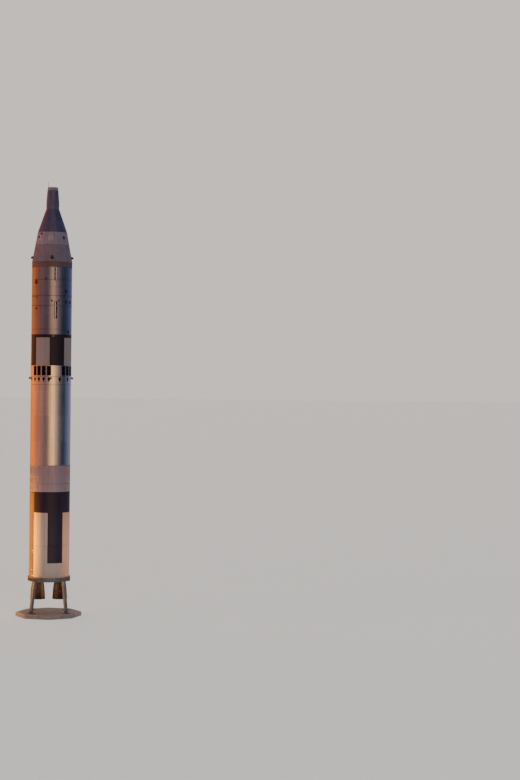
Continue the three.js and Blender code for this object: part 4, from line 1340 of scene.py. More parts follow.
class MakeFirstStage(bpy.types.Operator):
    """Tail skirt, tanks, ribbed section, forward skirt and interstage of the first stage"""
    bl_idname = "rocket.first_stage"
    bl_label = "First stage"

    def execute(self, context):
        sizes = context.scene.rocket_sizes
        seam = sizes.seam
        low, high = foot("aft_skirt"), top("aft_skirt")
        wall = as_object("wall", framed_wall(low, high, seam, TAIL_FRAMES),
                         "stage1_pattern", "inner")
        ribs = inner_stringers(low, 4.62, 48)
        settled(gathered("aft_skirt_skin", [wall, ribs]), "rocket", "paint", "aft_skirt")

        domed_tank("fuel_tank_skin", "stage1_fuel_tank", "aft_skirt", GROOVES["stage1_fuel"], seam,
                   "stage1_pattern", "paint")
        self.ribbed(sizes)

        low, high = top("stage1_between_tanks"), foot("stage1_forward_skirt")
        dome = dome_profile(high, top("stage1_oxidizer_tank"), BODY_R - SKIN - 0.005)
        outer = barrel_profile(low, high, BODY_R, seam, GROOVES["stage1_oxidizer"])
        profile = [(0, low + seam / 2)] + outer + dome
        stretches = [1] + [0] * (len(outer) - 1) + [1] * len(dome)
        # The tank's bottom and its top dome take the dark paint: painted shade inside the skirts.
        settled(as_object("oxidizer_tank_skin", turned(profile, stretches=stretches),
                          "bright", "soot_and_shade"), "rocket", "skin", "stage1_oxidizer_tank")

        low, high = foot("stage1_forward_skirt"), top("stage1_forward_skirt")
        # Inside the forward skirt and in the teardrops' cut edges the dark paint is painted shade.
        skirt = as_object("forward_skirt_skin", framed_wall(low, high, seam, ()),
                          "bright", "soot_and_shade")
        carved(skirt, [teardrop(b + turn, TEARDROP_Z)
                       for b in TEARDROP_BEARINGS for turn in (0, 180)], SHADED_CUT_SLOT)
        settled(skirt, "rocket", "skin", "stage1_forward_skirt")

        low, high = foot("interstage"), top("interstage")
        # Inside the interstage and in the slots' cut edges the dark paint is painted shade.
        wall = as_object("interstage_skin", framed_wall(low, high, seam, ()), "bright", "soot_and_shade")
        middle = (SLOT["foot"] + SLOT["top"]) / 2
        cutter = (SLOT["width"], 0.24, SLOT["top"] - SLOT["foot"])
        carved(wall, [turn_to(box(cutter, (0, -BODY_R, middle)), b) for b in slot_bearings()],
               SHADED_CUT_SLOT)
        settled(wall, "rocket", "skin", "interstage")
        # Rims round the slots and frames behind them, in the dark paint: painted shade round and
        # inside the slots.
        for name, item in (("slot_rims", self.slot_rim), ("slot_frames", self.slot_frame)):
            rounds = [repeated("round", item(middle), "soot_and_shade", SLOT["groups"], 90, start)
                      for start in slot_bearings()[:SLOT["each"]]]
            settled(gathered(name, rounds), "rocket", "skin")
        return {"FINISHED"}

    def slot_rim(self, middle):
        """A narrow raised frame round one slot."""
        width, height = SLOT["width"], SLOT["top"] - SLOT["foot"]
        return combined(
            [box((0.010, 0.012, height + 0.02), (side * (width / 2 + 0.004), -BODY_R - 0.001,
                                                 middle), 0.003) for side in (-1, 1)]
            + [box((width + 0.018, 0.012, 0.012), (0, -BODY_R + 0.006,
                                                   middle + side * (height / 2 + 0.005)), 0.003)
               for side in (-1, 1)])

    def slot_frame(self, middle):
        """The deep frame behind one slot, dark as painted shade inside it."""
        wall, width = SLOT["wall"], SLOT["width"]
        height = SLOT["top"] - SLOT["foot"]
        depth = BODY_R - SKIN + 0.02 - SLOT["inner_r"]
        at = -(SLOT["inner_r"] + depth / 2)
        return combined(
            [box((wall, depth, height + 2 * wall), (side * (width + wall) / 2, at, middle), 0.002)
             for side in (-1, 1)]
            + [box((width, depth, wall), (0, at, middle + side * (height + wall) / 2), 0.002)
               for side in (-1, 1)])

    def ribbed(self, sizes):
        """Skin, hat stringers and rings of the section between the tanks."""
        low, high = foot("stage1_between_tanks"), top("stage1_between_tanks")
        skin_r = BODY_R - 0.018
        profile = [(0, low + 0.002), (BODY_R - 0.002, low + 0.002), (BODY_R - 0.002, low + 0.07),
                   (skin_r, low + 0.075)]
        for z in RIBBED_RINGS:
            profile += [(skin_r, z - 0.03), (BODY_R - 0.001, z - 0.026), (BODY_R - 0.001, z + 0.026),
                        (skin_r, z + 0.03)]
        profile += [(skin_r, high - 0.075), (BODY_R - 0.002, high - 0.07),
                    (BODY_R - 0.002, high - 0.002), (0, high - 0.002)]
        stretches = [1, 1, 1] + [0] * (len(profile) - 4)
        skin = as_object("skin", turned(profile, stretches=stretches), "dull", "stage1_pattern")
        pitch = 2 * math.pi * BODY_R / sizes.stringers
        hat = [(share * pitch, up) for share, up in ((-0.26, -0.004), (-0.16, 0.014), (0.16, 0.014),
                                                     (0.26, -0.004))]
        item = raised(lone(skin_r), hat, ((low + 0.05, 0.2), (low + 0.075, 1), (high - 0.075, 1),
                                          (high - 0.05, 0.2)))
        stringers = repeated("stringers", item, "dull", sizes.stringers)
        settled(gathered("ribbed_section_skin", [skin, stringers]), "rocket", "ribbed",
                "stage1_between_tanks")


# Second stage

class MakeSecondStage(bpy.types.Operator):
    """Tail skirt, tanks and dark ring of the second stage"""
    bl_idname = "rocket.second_stage"
    bl_label = "Second stage"

    def execute(self, context):
        seam = context.scene.rocket_sizes.seam
        low, high = foot("stage2_aft_skirt"), top("stage2_aft_skirt")
        wall = as_object("wall", framed_wall(low, high, seam, STAGE_TWO_FRAMES),
                         "stage2_pattern", "inner")
        ribs = inner_stringers(low, high - 0.3, 48)
        settled(gathered("stage2_aft_skirt_skin", [wall, ribs]), "rocket", "paint",
                "stage2_aft_skirt")

        domed_tank("stage2_fuel_tank_skin", "stage2_fuel_tank", "stage2_aft_skirt",
                   GROOVES["stage2_fuel"], seam, "aged", "skin")
        for node, grooves, material, finish in (
                ("stage2_between_tanks", (), "aged", "skin"),
                ("stage2_oxidizer_tank", GROOVES["stage2_oxidizer"], "aged", "skin"),
                ("forward_ring", (), "ring", "ring")):
            low, high = foot(node), top(node)
            outer = barrel_profile(low, high, BODY_R, seam, grooves, 0.05, 0.003)
            profile = [(0, low + seam / 2)] + outer + [(0, high - seam / 2)]
            settled(as_object(node + "_skin", turned(profile), material), "rocket", finish, node)
        return {"FINISHED"}


# Fastenings

# How far the skin lies below the lands there. {finish: {height: depth}}
RIVET_ROWS = {
    "stage1_pattern": {3.06: 0, 3.62: 0.005, 4.20: 0.005, 4.77: 0.005, 5.34: 0, 5.46: 0, 9.34: 0,
                       9.435: 0.002},
    "dull": {10.09: 0.001, 10.65: 0.001, 11.435: 0.002},
    "bright": {11.53: 0, 17.49: 0, 17.61: 0, 18.11: 0, 18.22: 0, 18.975: 0},
    "stage2_pattern": {19.06: 0, 19.75: 0.005, 20.50: 0.005, 21.27: 0},
    "aged": {21.39: 0, 23.44: 0, 23.56: 0, 24.20: 0, 24.32: 0, 26.37: 0},
    "ring": {26.445: 0, 26.795: 0},
}
# Foot and top of the upright rows in each finish
UPRIGHT_ROWS = {"stage1_pattern": (3.10, 5.30), "stage2_pattern": (19.10, 21.22),
                "aged": (23.60, 24.16), "ring": (26.50, 26.75)}
UPRIGHT = {"columns": 24, "pitch": 0.11, "sunk": 0.0045}
SLOT_OF = {"stage1_pattern": "paint", "stage2_pattern": "paint", "ring": "ring",
           "dull": "ribbed", "bright": "skin", "aged": "skin"}


class MakeFastenings(bpy.types.Operator):
    """Rows of rivets round the skirts and at the joints between the sections"""
    bl_idname = "rocket.fastenings"
    bl_label = "Rivets"

    def execute(self, context):
        sizes = context.scene.rocket_sizes
        count = int(2 * math.pi * BODY_R / sizes.rivet_pitch)
        for finish, rows in RIVET_ROWS.items():
            points = [bearing_point(BODY_R - sunk, 360 * (k + 0.5) / count, z)
                      for z, sunk in rows.items() for k in range(count)]
            if finish in UPRIGHT_ROWS:
                low, high = UPRIGHT_ROWS[finish]
                steps = round((high - low) / UPRIGHT["pitch"])
                points += [bearing_point(BODY_R - UPRIGHT["sunk"],
                                         360 * (column + 0.5) / UPRIGHT["columns"],
                                         low + (high - low) * i / steps)
                           for column in range(UPRIGHT["columns"]) for i in range(steps + 1)]
            rivet = head(sizes.rivet, sizes.rivet * 0.3)
            piece = scattered(f"rivets_{finish}", points, rivet, finish)
            settled(piece, "rocket", SLOT_OF[finish])
        return {"FINISHED"}


# Doors, ports and fairings

# [bearing, height, width, height of the opening]; the pointed one is narrow at the top
PORTS = [
    (44.6, 24.58, 0.19, 0.25), (45.5, 23.79, 0.17, 0.25), (63.6, 23.78, 0.17, 0.22),
    (55.8, 21.53, 0.19, 0.22), (-17.3, 25.53, 0.12, 0.12), (0.0, 23.88, 0.08, 0.08),
    (19.7, 23.88, 0.08, 0.08), (-61.8, 24.22, 0.10, 0.08), (-47.5, 24.13, 0.09, 0.08),
    (-49.7, 23.29, 0.13, 0.11), (150.0, 25.10, 0.17, 0.25), (212.0, 24.40, 0.12, 0.12),
    (135.0, 23.79, 0.17, 0.25), (235.0, 21.56, 0.17, 0.22),
]
POINTED_PORTS = [(-50.6, 25.33, 0.32, 0.38), (129.4, 25.33, 0.32, 0.38)]

# {finish: [width, height of the doors, [bearing, height]]}
DOORS = {
    "bright": (0.26, 0.30, [(68, 17.86), (112, 17.86)]),
    "aged": (0.34, 0.44, [(-68, 23.88), (102, 23.88), (192, 23.88)]),
    "stage1_pattern": (0.46, 0.60, [(-72, 4.40), (108, 4.40), (198, 4.40)]),
    "stage2_pattern": (0.40, 0.50, [(62, 20.10), (242, 20.10), (152, 20.10)]),
}
FAIRING = {"width": 0.245, "height": 0.095, "bearing": 11.0, "taper": 0.09}


class MakeCovers(bpy.types.Operator):
    """Access doors, ports and the two cable fairings"""
    bl_idname = "rocket.covers"
    bl_label = "Doors, ports and fairings"

    def execute(self, context):
        sizes = context.scene.rocket_sizes
        skin = lone(BODY_R - 0.003)
        rims, holes = rimmed(skin, PORTS, 0.05, 0.007)
        for bearing, z, width, height in POINTED_PORTS:
            rims.append(curved_plate(skin, width + 0.04, pointed(width + 0.04, height + 0.06, z),
                                     0.007, bearing))
            holes.append(curved_plate(skin, width, pointed(width, height, z), 0.009, bearing))
        # The ports' holes are near-black plates: painted shade of their insides.
        ports = gathered("ports", [as_object("rims", rims, "lug"),
                                   as_object("holes", holes, "dark")])
        settled(ports, "rocket", "skin")
        for finish, (width, height, places) in DOORS.items():
            plates, points = [], []
            for bearing, z in places:
                plates.append(curved_plate(lone(BODY_R), width, rounded(width, height, z, 0.03),
                                           0.003, bearing, 0.008))
                points += outline_points(lone(BODY_R + 0.0025), width, height, z, bearing, 0.055,
                                         0.022)
            doors = [as_object("doors", plates, finish),
                     scattered("screws", points, head(sizes.rivet, 0.003), finish)]
            settled(gathered(f"doors_{finish}", doors), "rocket", SLOT_OF[finish])
        # The fairings' flanks are painted: the pale band paint as painted light on the lit flank, the
        # dark paint as painted shade on the shaded one; the flange takes the right flank's paint.
        self.fairing("stage2_lower_fairing", True, "band", "soot_and_shade")
        self.fairing("stage2_upper_fairing", False, "soot_and_shade", "band")
        return {"FINISHED"}

    def fairing(self, node, arch, left, right):
        """A cover with rounded shoulders and flanges, arched at its top or not. Its crown is pale as
        a painted highlight; its flanks are pale as painted light on one side and dark as painted
        shade on the other.
        """
        low, high = foot(node), top(node)
        middle, bearing = (low + high) / 2, FAIRING["bearing"]
        width, height, taper = FAIRING["width"], FAIRING["height"], FAIRING["taper"]
        section = [(-0.5, 0.0), (-0.49, 0.55), (-0.36, 0.88), (-0.17, 0.98), (0.0, 1.0),
                   (0.17, 0.98), (0.36, 0.88), (0.49, 0.55), (0.5, 0.0)]
        ends = [(low, 0.12), (low + taper * 0.45, 0.74), (low + taper, 1.0), (high - taper, 1.0),
                (high - taper * 0.45, 0.74), (high, 0.12)]
        mesh = lofted([[(across * (width - 0.05), -(BODY_R - 0.004 + up * share * height), z)
                        for across, up in section] for z, share in ends])
        # The crown faces keep the pale crown paint, a painted highlight; the faces beside it take the
        # left or right paint.
        crown = (2, 3) if arch else (3, 4)
        for index, side in enumerate(list(mesh.faces)[:-2]):
            row, k = divmod(index, len(section))
            if arch and row == len(ends) - 2:
                side.material_index = 2
            elif k not in crown:
                side.material_index = 1 if k < 3 else 2
        skirt = curved_plate(lone(BODY_R), width, rounded(width, high - low, middle,
                                                          0.05 if arch else 0.01), 0.005, bearing)
        points = outline_points(lone(BODY_R + 0.005), width, high - low, middle, bearing, 0.06, 0.012)
        over = BODY_R + height + 0.002
        bands = [plate([(BODY_R, z - 0.012), (over, z - 0.012), (over, z + 0.012),
                        (BODY_R, z + 0.012)], width * 0.62, bearing)
                 for z in (low + 0.33, high - 0.33)]
        parts = [as_object("cover", turn_to(mesh, bearing), "crown", left, right),
                 as_object("flange", skirt, right),
                 scattered("screws", points, head(0.006, 0.004), "steel"),
                 as_object("bands", bands, "crown")]
        settled(gathered(node + "_cover", parts), "rocket", "skin", node)


# Adapter

RIB = {"lift": 0.005, "width": 0.014}


def upright_rib(radius_at, low, high, width, lift):
    """A low rounded rib up the skin at bearing 0."""
    section = [(share * width, up) for share, up in (
        (-0.5, -0.002), (-0.3, lift * 0.8), (0.0, lift), (0.3, lift * 0.8), (0.5, -0.002))]
    return raised(radius_at, section, ((low, 0.2), (low + width * 0.8, 1), (high - width * 0.8, 1),
                                       (high, 0.2)))


# [bearing, height, width, height of the opening]
THRUSTERS = [(-45.5, 28.95, 0.14, 0.13), (-58, 28.70, 0.17, 0.15), (46, 28.67, 0.17, 0.20),
             (134.5, 28.95, 0.14, 0.13), (122, 28.70, 0.17, 0.15), (226, 28.67, 0.17, 0.20)]


class MakeAdapter(bpy.types.Operator):
    """The adapter's two sections with their ribs, bands and thruster ports"""
    bl_idname = "rocket.adapter"
    bl_label = "Adapter"

    def execute(self, context):
        seam = context.scene.rocket_sizes.seam
        skin = lambda z: adapter_radius(z) - RIB["lift"]
        band = 0.05
        for node, material in (("equipment_adapter", "adapter"), ("retro_adapter", "retro")):
            low, high = foot(node), top(node)
            middle = (low + high) / 2
            radius = adapter_radius(middle)
            profile = [(0, low), (adapter_radius(low), low + seam / 2),
                       *points_on(adapter_radius, low + band),
                       *points_on(skin, low + band + 0.004, middle - 0.02),
                       (radius, middle - 0.016), (radius, middle + 0.016),
                       *points_on(skin, middle + 0.02, high - band - 0.004),
                       *points_on(adapter_radius, high - band),
                       (adapter_radius(high), high - seam / 2), (0, high)]
            shell = as_object("shell", turned(profile), material)
            ribs = [repeated("ribs", upright_rib(skin, a, b, RIB["width"], RIB["lift"]), material,
                             144)
                    for a, b in ((low + band, middle - 0.02), (middle + 0.02, high - band))]
            points = []
            for z in (low + band / 2 + 0.004, middle, high - band / 2 - 0.004):
                count = int(2 * math.pi * adapter_radius(z) / 0.09)
                points += [bearing_point(adapter_radius(z), 360 * (k + 0.5) / count, z)
                           for k in range(count)]
            rivets = scattered("rivets", points, head(0.006, 0.003), material)
            settled(gathered(node + "_skin", [shell] + ribs + [rivets]), "rocket", "adapter", node)
        z = top("equipment_adapter")
        radius = adapter_radius(z)
        strap = turned([(radius - 0.01, z - 0.022), (radius + 0.002, z - 0.018),
                        (radius + 0.002, z + 0.018), (radius - 0.01, z + 0.022)], closed=True)
        settled(as_object("adapter_band", strap, "band"), "rocket", "adapter")
        # The thruster ports' holes are near-black plates: painted shade of their insides.
        rims, holes = rimmed(adapter_radius, THRUSTERS, 0.04, 0.006, 0.012)
        settled(gathered("thruster_ports", [as_object("rims", rims, "lug"),
                                            as_object("holes", holes, "dark")]),
                "rocket", "adapter")
        return {"FINISHED"}


# Lugs and their shackles

LUG = {"thickness": 0.05, "eye": 0.028, "eye_in": 0.058, "reach": 0.15, "root": 0.04,
       "below": 0.075, "above": 0.115, "tip_half": 0.05, "sink": 0.02}
LOWER_LUG_Z = 18.045
UPPER_LUG_Z = 27.18


class MakeLugs(bpy.types.Operator):
    """The eight lugs, with the shackles in their eyes"""
    bl_idname = "rocket.lugs"
    bl_label = "Lugs"

    def execute(self, context):
        lower_pad = curved_plate(lone(BODY_R), 0.104,
                                 rounded(0.104, 0.24, LOWER_LUG_Z + 0.005, 0.02), 0.010)
        upper_pad = curved_plate(adapter_radius, 0.25, pointed(0.25, 0.34, UPPER_LUG_Z - 0.02),
                                 0.012)
        self.lugs("lower_lugs", lone(BODY_R), LOWER_LUG_Z, lower_pad, 0.038, "bright",
                  "pale_lug", "skin")
        self.lugs("upper_lugs", adapter_radius, UPPER_LUG_Z, upper_pad, 0.062, "lug", "lug",
                  "adapter")
        return {"FINISHED"}

    def lugs(self, name, radius_at, z, pad, bolt_at, finish, blade_finish, slot):
        """A plate with a bushed eye and a shackle, bolted to its pad, on each of four sides."""
        radius = radius_at(z)
        tip = radius + LUG["reach"]
        blade = plate([(radius - LUG["sink"], z - LUG["below"]),
                       (tip - LUG["root"], z - LUG["below"]), (tip, z - LUG["tip_half"]),
                       (tip, z + LUG["tip_half"]), (radius + LUG["root"], z + LUG["above"]),
                       (radius - LUG["sink"], z + LUG["above"])], LUG["thickness"], 0)
        bmesh.ops.bevel(blade, geom=blade.edges[:], offset=0.004, segments=2, affect="EDGES")
        eye = Vector((0, -(tip - LUG["eye_in"]), z))
        wide = Vector((LUG["thickness"] / 2, 0, 0))
        carrier = as_object("lug", blade, blade_finish)
        carved(carrier, [bar(eye - wide * 3, eye + wide * 3, LUG["eye"], 28)])
        bosses = [bar(eye + wide * x, eye + wide * x * 1.4, 0.044, 28) for x in (-1, 1)]
        spots = [(x, -(radius + 0.009), z + up) for x in (-bolt_at, bolt_at)
                 for up in (-0.06, 0.07)]
        made = gathered(name, [
            carrier, as_object("pad", pad, finish),
            as_object("bosses", bosses, blade_finish),
            scattered("bolts", spots, head(0.013, 0.010), "steel"),
            self.shackle(eye, blade_finish)])
        sides = []
        for bearing in (0, 90, 180, 270):
            mesh = bmesh.new()
            mesh.from_mesh(made.data)
            sides.append(turn_to(mesh, bearing))
        whole = combined(sides)
        whole.to_mesh(made.data)
        whole.free()
        settled(made, "rocket", slot)

    def shackle(self, eye, finish):
        """A pinned bow that hangs from the eye."""
        half = Vector((0.047, 0, 0))
        down = upwards(-1)
        bow = [eye - half, eye - half + down * 0.03]
        bow += [eye - half * math.cos(math.pi * i / 8)
                + down * (0.03 + 0.047 * math.sin(math.pi * i / 8)) for i in range(1, 8)]
        bow += [eye + half + down * 0.03, eye + half]
        parts = [pipe(bow, 0.012, 12), bar(eye - half * 1.7, eye + half * 1.7, 0.019, 20),
                 bar(eye + half * 1.35, eye + half * 1.8, 0.028, 6),
                 bar(eye - half * 1.8, eye - half * 1.35, 0.028, 12)]
        return as_object("shackle", parts, finish)


# Capsule

CABIN_WALL = 0.07
HATCH = {"foot": 29.33, "top": 30.56, "inner": 5.0, "outer": 57.0, "clear": 0.009,
         "hinge_out": 0.026}
WINDOW = {"z": 30.12, "bearing": 29.0, "width": 0.25, "height": 0.33}
HINGE = {"radius": 0.016, "leaf": 0.06, "thick": 0.034, "knuckle": 0.09, "clear": 0.006}
HINGE_HEIGHTS = (29.5, 30.35)
HANDLE = {"z": 29.7, "bearing": 14, "half": 0.09, "radius": 0.011}
PALE_STRIP = {"z": 29.29, "bearing": -7.3, "width": 0.035, "height": 0.22}
FLOOR = 0.15
ROOF = 0.06


def wall_outline(low, high, depth_from, depth_to):
    """Corners of the cabin's wall between two heights, square to it, running up the outside."""
    def corner(z, depth):
        return (cabin_radius(z) - math.cos(LEAN) * depth, z - math.sin(LEAN) * depth)
    return [corner(low, depth_to), corner(low, depth_from), corner(high, depth_from),
            corner(high, depth_to)]


def hatch_edges(side, shrink):
    edges = sorted((180 + side * HATCH["inner"], 180 + side * HATCH["outer"]))
    return edges[0] + shrink, edges[1] - shrink


def window_box(side, grow, depth_from, depth_to, bevel=0.0):
    """A block through the hatch's wall at its window."""
    mesh = box((WINDOW["width"] + 2 * grow, depth_to - depth_from, WINDOW["height"] + 2 * grow),
               (0, (depth_from + depth_to) / 2, 0), bevel)
    mesh = rotated(mesh, -math.degrees(LEAN), "X")
    moved(mesh, (0, -cabin_radius(WINDOW["z"]), WINDOW["z"]))
    return turn_to(mesh, 180 + side * WINDOW["bearing"])


def hinge_point(side, z):
    return bearing_point(cabin_radius(z) + HATCH["hinge_out"] * math.cos(LEAN),
                         180 + side * HATCH["outer"], z + HATCH["hinge_out"] * math.sin(LEAN))


def knuckle(side, z, shift, towards):
    """A hinge's knuckle with its leaf, on the hatch's side (+1) or the cabin's (-1)."""
    axis = (hinge_point(side, z + 0.1) - hinge_point(side, z)).normalized()
    middle = hinge_point(side, z) + axis * shift
    half = axis * HINGE["knuckle"] / 2
    outwards = bearing_point(math.cos(LEAN), 180 + side * HATCH["outer"], math.sin(LEAN))
    across = outwards.cross(axis)
    leaf = box((HINGE["leaf"], HINGE["thick"], HINGE["knuckle"]),
               (side * towards * (HINGE["clear"] + HINGE["leaf"] / 2), -0.02, 0), 0.002)
    turn = Matrix((across, outwards, axis)).transposed().to_4x4()
    bmesh.ops.transform(leaf, matrix=Matrix.Translation(middle) @ turn, verts=leaf.verts)
    return [bar(middle - half, middle + half, HINGE["radius"], 20), outward(leaf)]


BEAD = {"width": 0.020, "lift": 0.004}


def beads(name, material, start, end, low, high, rows=3, step=3.75):
    """Rows of upright beads pressed into the shingles between two bearings."""
    made = []
    tall = (high - low) / rows
    columns = int((end - start) / step) + 1
    spare = (end - start) - (columns - 1) * step
    for row in range(rows):
        bead = upright_rib(cabin_radius, low + row * tall + 0.045, low + (row + 1) * tall - 0.045,
                           BEAD["width"], BEAD["lift"])
        made.append(repeated("beads", bead, material, columns, step=step,
                             start=start + spare / 2))
    return gathered(name, made)


class MakeCapsule(bpy.types.Operator):
    """The cabin's shell with its shingles, edge frames and hinges"""
    bl_idname = "rocket.capsule"
    bl_label = "Cabin"

    def execute(self, context):
        low, high = foot("cabin_shell"), CABIN_TOP
        seams = [low + 0.45, low + 0.90, low + 1.35]
        profile = [(0, low), (cabin_radius(low), low)]
        for z in seams:
            profile += [(cabin_radius(z - 0.006), z - 0.006), (cabin_radius(z) - 0.006, z),
                        (cabin_radius(z + 0.006), z + 0.006)]
        profile += [(NOSE_R, high), (0, high)]
        shell = as_object("shell", turned(profile, 160), "shingle", "inner")
        inner = lambda z: cabin_radius(z) - CABIN_WALL / math.cos(LEAN)
        hollow = turned([(0, low + FLOOR), (inner(low + FLOOR), low + FLOOR),
                         (inner(high - ROOF), high - ROOF), (0, high - ROOF)], 96)
        carved(shell, [hollow], 1)
        openings = [turned(wall_outline(HATCH["foot"], HATCH["top"], -0.06, CABIN_WALL + 0.06), 24,
                           True, None, *hatch_edges(side, 0)) for side in (1, -1)]
        carved(shell, openings, 1)
        parts = [shell]
        shift = (HINGE["knuckle"] + HINGE["clear"]) / 2
        leaves = [mesh for side in (1, -1) for z in HINGE_HEIGHTS
                  for mesh in knuckle(side, z, -shift, -1)]
        parts.append(as_object("leaves", leaves, "steel"))
        parts.append(beads("beads", "shingle", -118, 118, low, high, 4))
        parts.append(beads("beads", "shingle", 176.5, 183.5, low, high, 4, 7.0))
        for side in (1, -1):
            edges = hatch_edges(side, -1.1)
            for z in (HATCH["foot"] - 0.018, HATCH["top"] + 0.018):
                sill = turned(wall_outline(z - 0.012, z + 0.012, -0.006, 0.004), 24, True, None,
                              *edges)
                parts.append(as_object("sill", sill, "lug"))
        points = []
        for z in seams + [low + 0.03, high - 0.03]:
            count = int(2 * math.pi * cabin_radius(z) / 0.07)
            for k in range(count):
                bearing = 360 * (k + 0.5) / count
                off = abs(180 - bearing)
                if off > HATCH["outer"] + 2 or off < HATCH["inner"] - 1 or z < HATCH["foot"]:
                    points += [bearing_point(cabin_radius(z + s), bearing, z + s)
                               for s in (-0.02, 0.02) if low < z + s < high]
        parts.append(scattered("screws", points, head(0.005, 0.003), "shingle", -LEAN))
        width, tall = PALE_STRIP["width"], PALE_STRIP["height"]
        strip = curved_plate(cabin_radius, width, rounded(width, tall, PALE_STRIP["z"], 0.017),
                             0.006, PALE_STRIP["bearing"])
        parts.append(as_object("strip", strip, "retro"))
        settled(gathered("cabin_shell_skin", parts), "rocket", "capsule", "cabin_shell")
        return {"FINISHED"}


class MakeHatches(bpy.types.Operator):
    """The two hatches with their windows, frames and hinges"""
    bl_idname = "rocket.hatches"
    bl_label = "Hatches"

    def execute(self, context):
        for name, side in (("left", 1), ("right", -1)):
            self.hatch(name, side)
        return {"FINISHED"}

    def hatch(self, name, side):
        clear = HATCH["clear"]
        shrink = math.degrees(clear / cabin_radius(HATCH["top"]))
        edges = hatch_edges(side, shrink)
        low, high = HATCH["foot"] + clear, HATCH["top"] - clear
        door = as_object("door", turned(wall_outline(low, high, 0, CABIN_WALL), 24, True,
                                        [1, 0, 1, 1], *edges), "shingle", "inner")
        carved(door, [window_box(side, 0, -0.12, 0.12)], 1)
        parts = [door]
        shift = (HINGE["knuckle"] + HINGE["clear"]) / 2
        leaves = [mesh for z in HINGE_HEIGHTS for mesh in knuckle(side, z, shift, 1)]
        parts.append(as_object("leaves", leaves, "steel"))
        rim = as_object("rim", window_box(side, 0.028, -0.008, 0.004, 0.003), "lug")
        carved(rim, [window_box(side, 0.0005, -0.05, 0.05)])
        parts.append(rim)
        middle = 180 + side * WINDOW["bearing"]
        gap = math.degrees((WINDOW["width"] / 2 + 0.06) / cabin_radius(WINDOW["z"]))
        inner_end, outer_end = sorted((middle - gap, middle + gap))
        for start, end in ((edges[0] + 2.5, inner_end), (outer_end, edges[1] - 2.5)):
            if end > start:
                parts.append(beads("beads", "shingle", start, end, low, high))
        parts.append(beads("beads", "shingle", inner_end + 3.75, outer_end - 3.75, low,
                           WINDOW["z"] - WINDOW["height"] / 2 - 0.01, 2))
        count = 14
        points = []
        for k in range(count):
            bearing = edges[0] + 1.2 + (edges[1] - edges[0] - 2.4) * k / (count - 1)
            points += [bearing_point(cabin_radius(z), bearing, z)
                       for z in (low + 0.02, high - 0.02)]
        parts.append(scattered("screws", points, head(0.006, 0.004), "steel", -LEAN))
        at = bearing_point(cabin_radius(HANDLE["z"]) - CABIN_WALL - 0.03,
                           180 + side * HANDLE["bearing"], HANDLE["z"])
        half = upwards(HANDLE["half"])
        lever = bar(at - half, at + half, HANDLE["radius"], 12)
        parts.append(as_object("lever", lever, "steel"))
        settled(gathered(f"hatch_{name}_skin", parts), f"{name}_hatch", "capsule",
                f"hatch_{name}")
        refinished(f"hatch_glass_{name}", "glass")


# Cabin interior

def pad(size, centre, crown, channels=0, along=1, steps=20):
    """A stuffed pad: rounded, crowned, with sewn channels across it."""
    mesh = bmesh.new()
    bmesh.ops.create_cube(mesh, size=2.0)
    bmesh.ops.subdivide_edges(mesh, edges=mesh.edges[:], cuts=steps, use_grid_fill=True)
    for vertex in mesh.verts:
        u, v, w = vertex.co
        round_off = (u ** 8 + v ** 8 + w ** 8) ** (1 / 8)
        lift = crown * (1 - u * u) * (1 - v * v)
        if channels:
            at = (u, v)[along]
            groove = abs(math.cos(math.pi * channels * (at + 1) / 2)) ** 12
            lift -= crown * 0.55 * groove * (1 - u ** 4) * (1 - v ** 4)
        waist = 1 - 0.035 * (1 - v * v) * (1 - w * w)
        vertex.co = Vector((u / round_off * size[0] / 2 * waist,
                            v / round_off * size[1] / 2,
                            w / round_off * size[2] / 2 + (lift * w if w > 0 else 0)))
    return moved(mesh, centre)


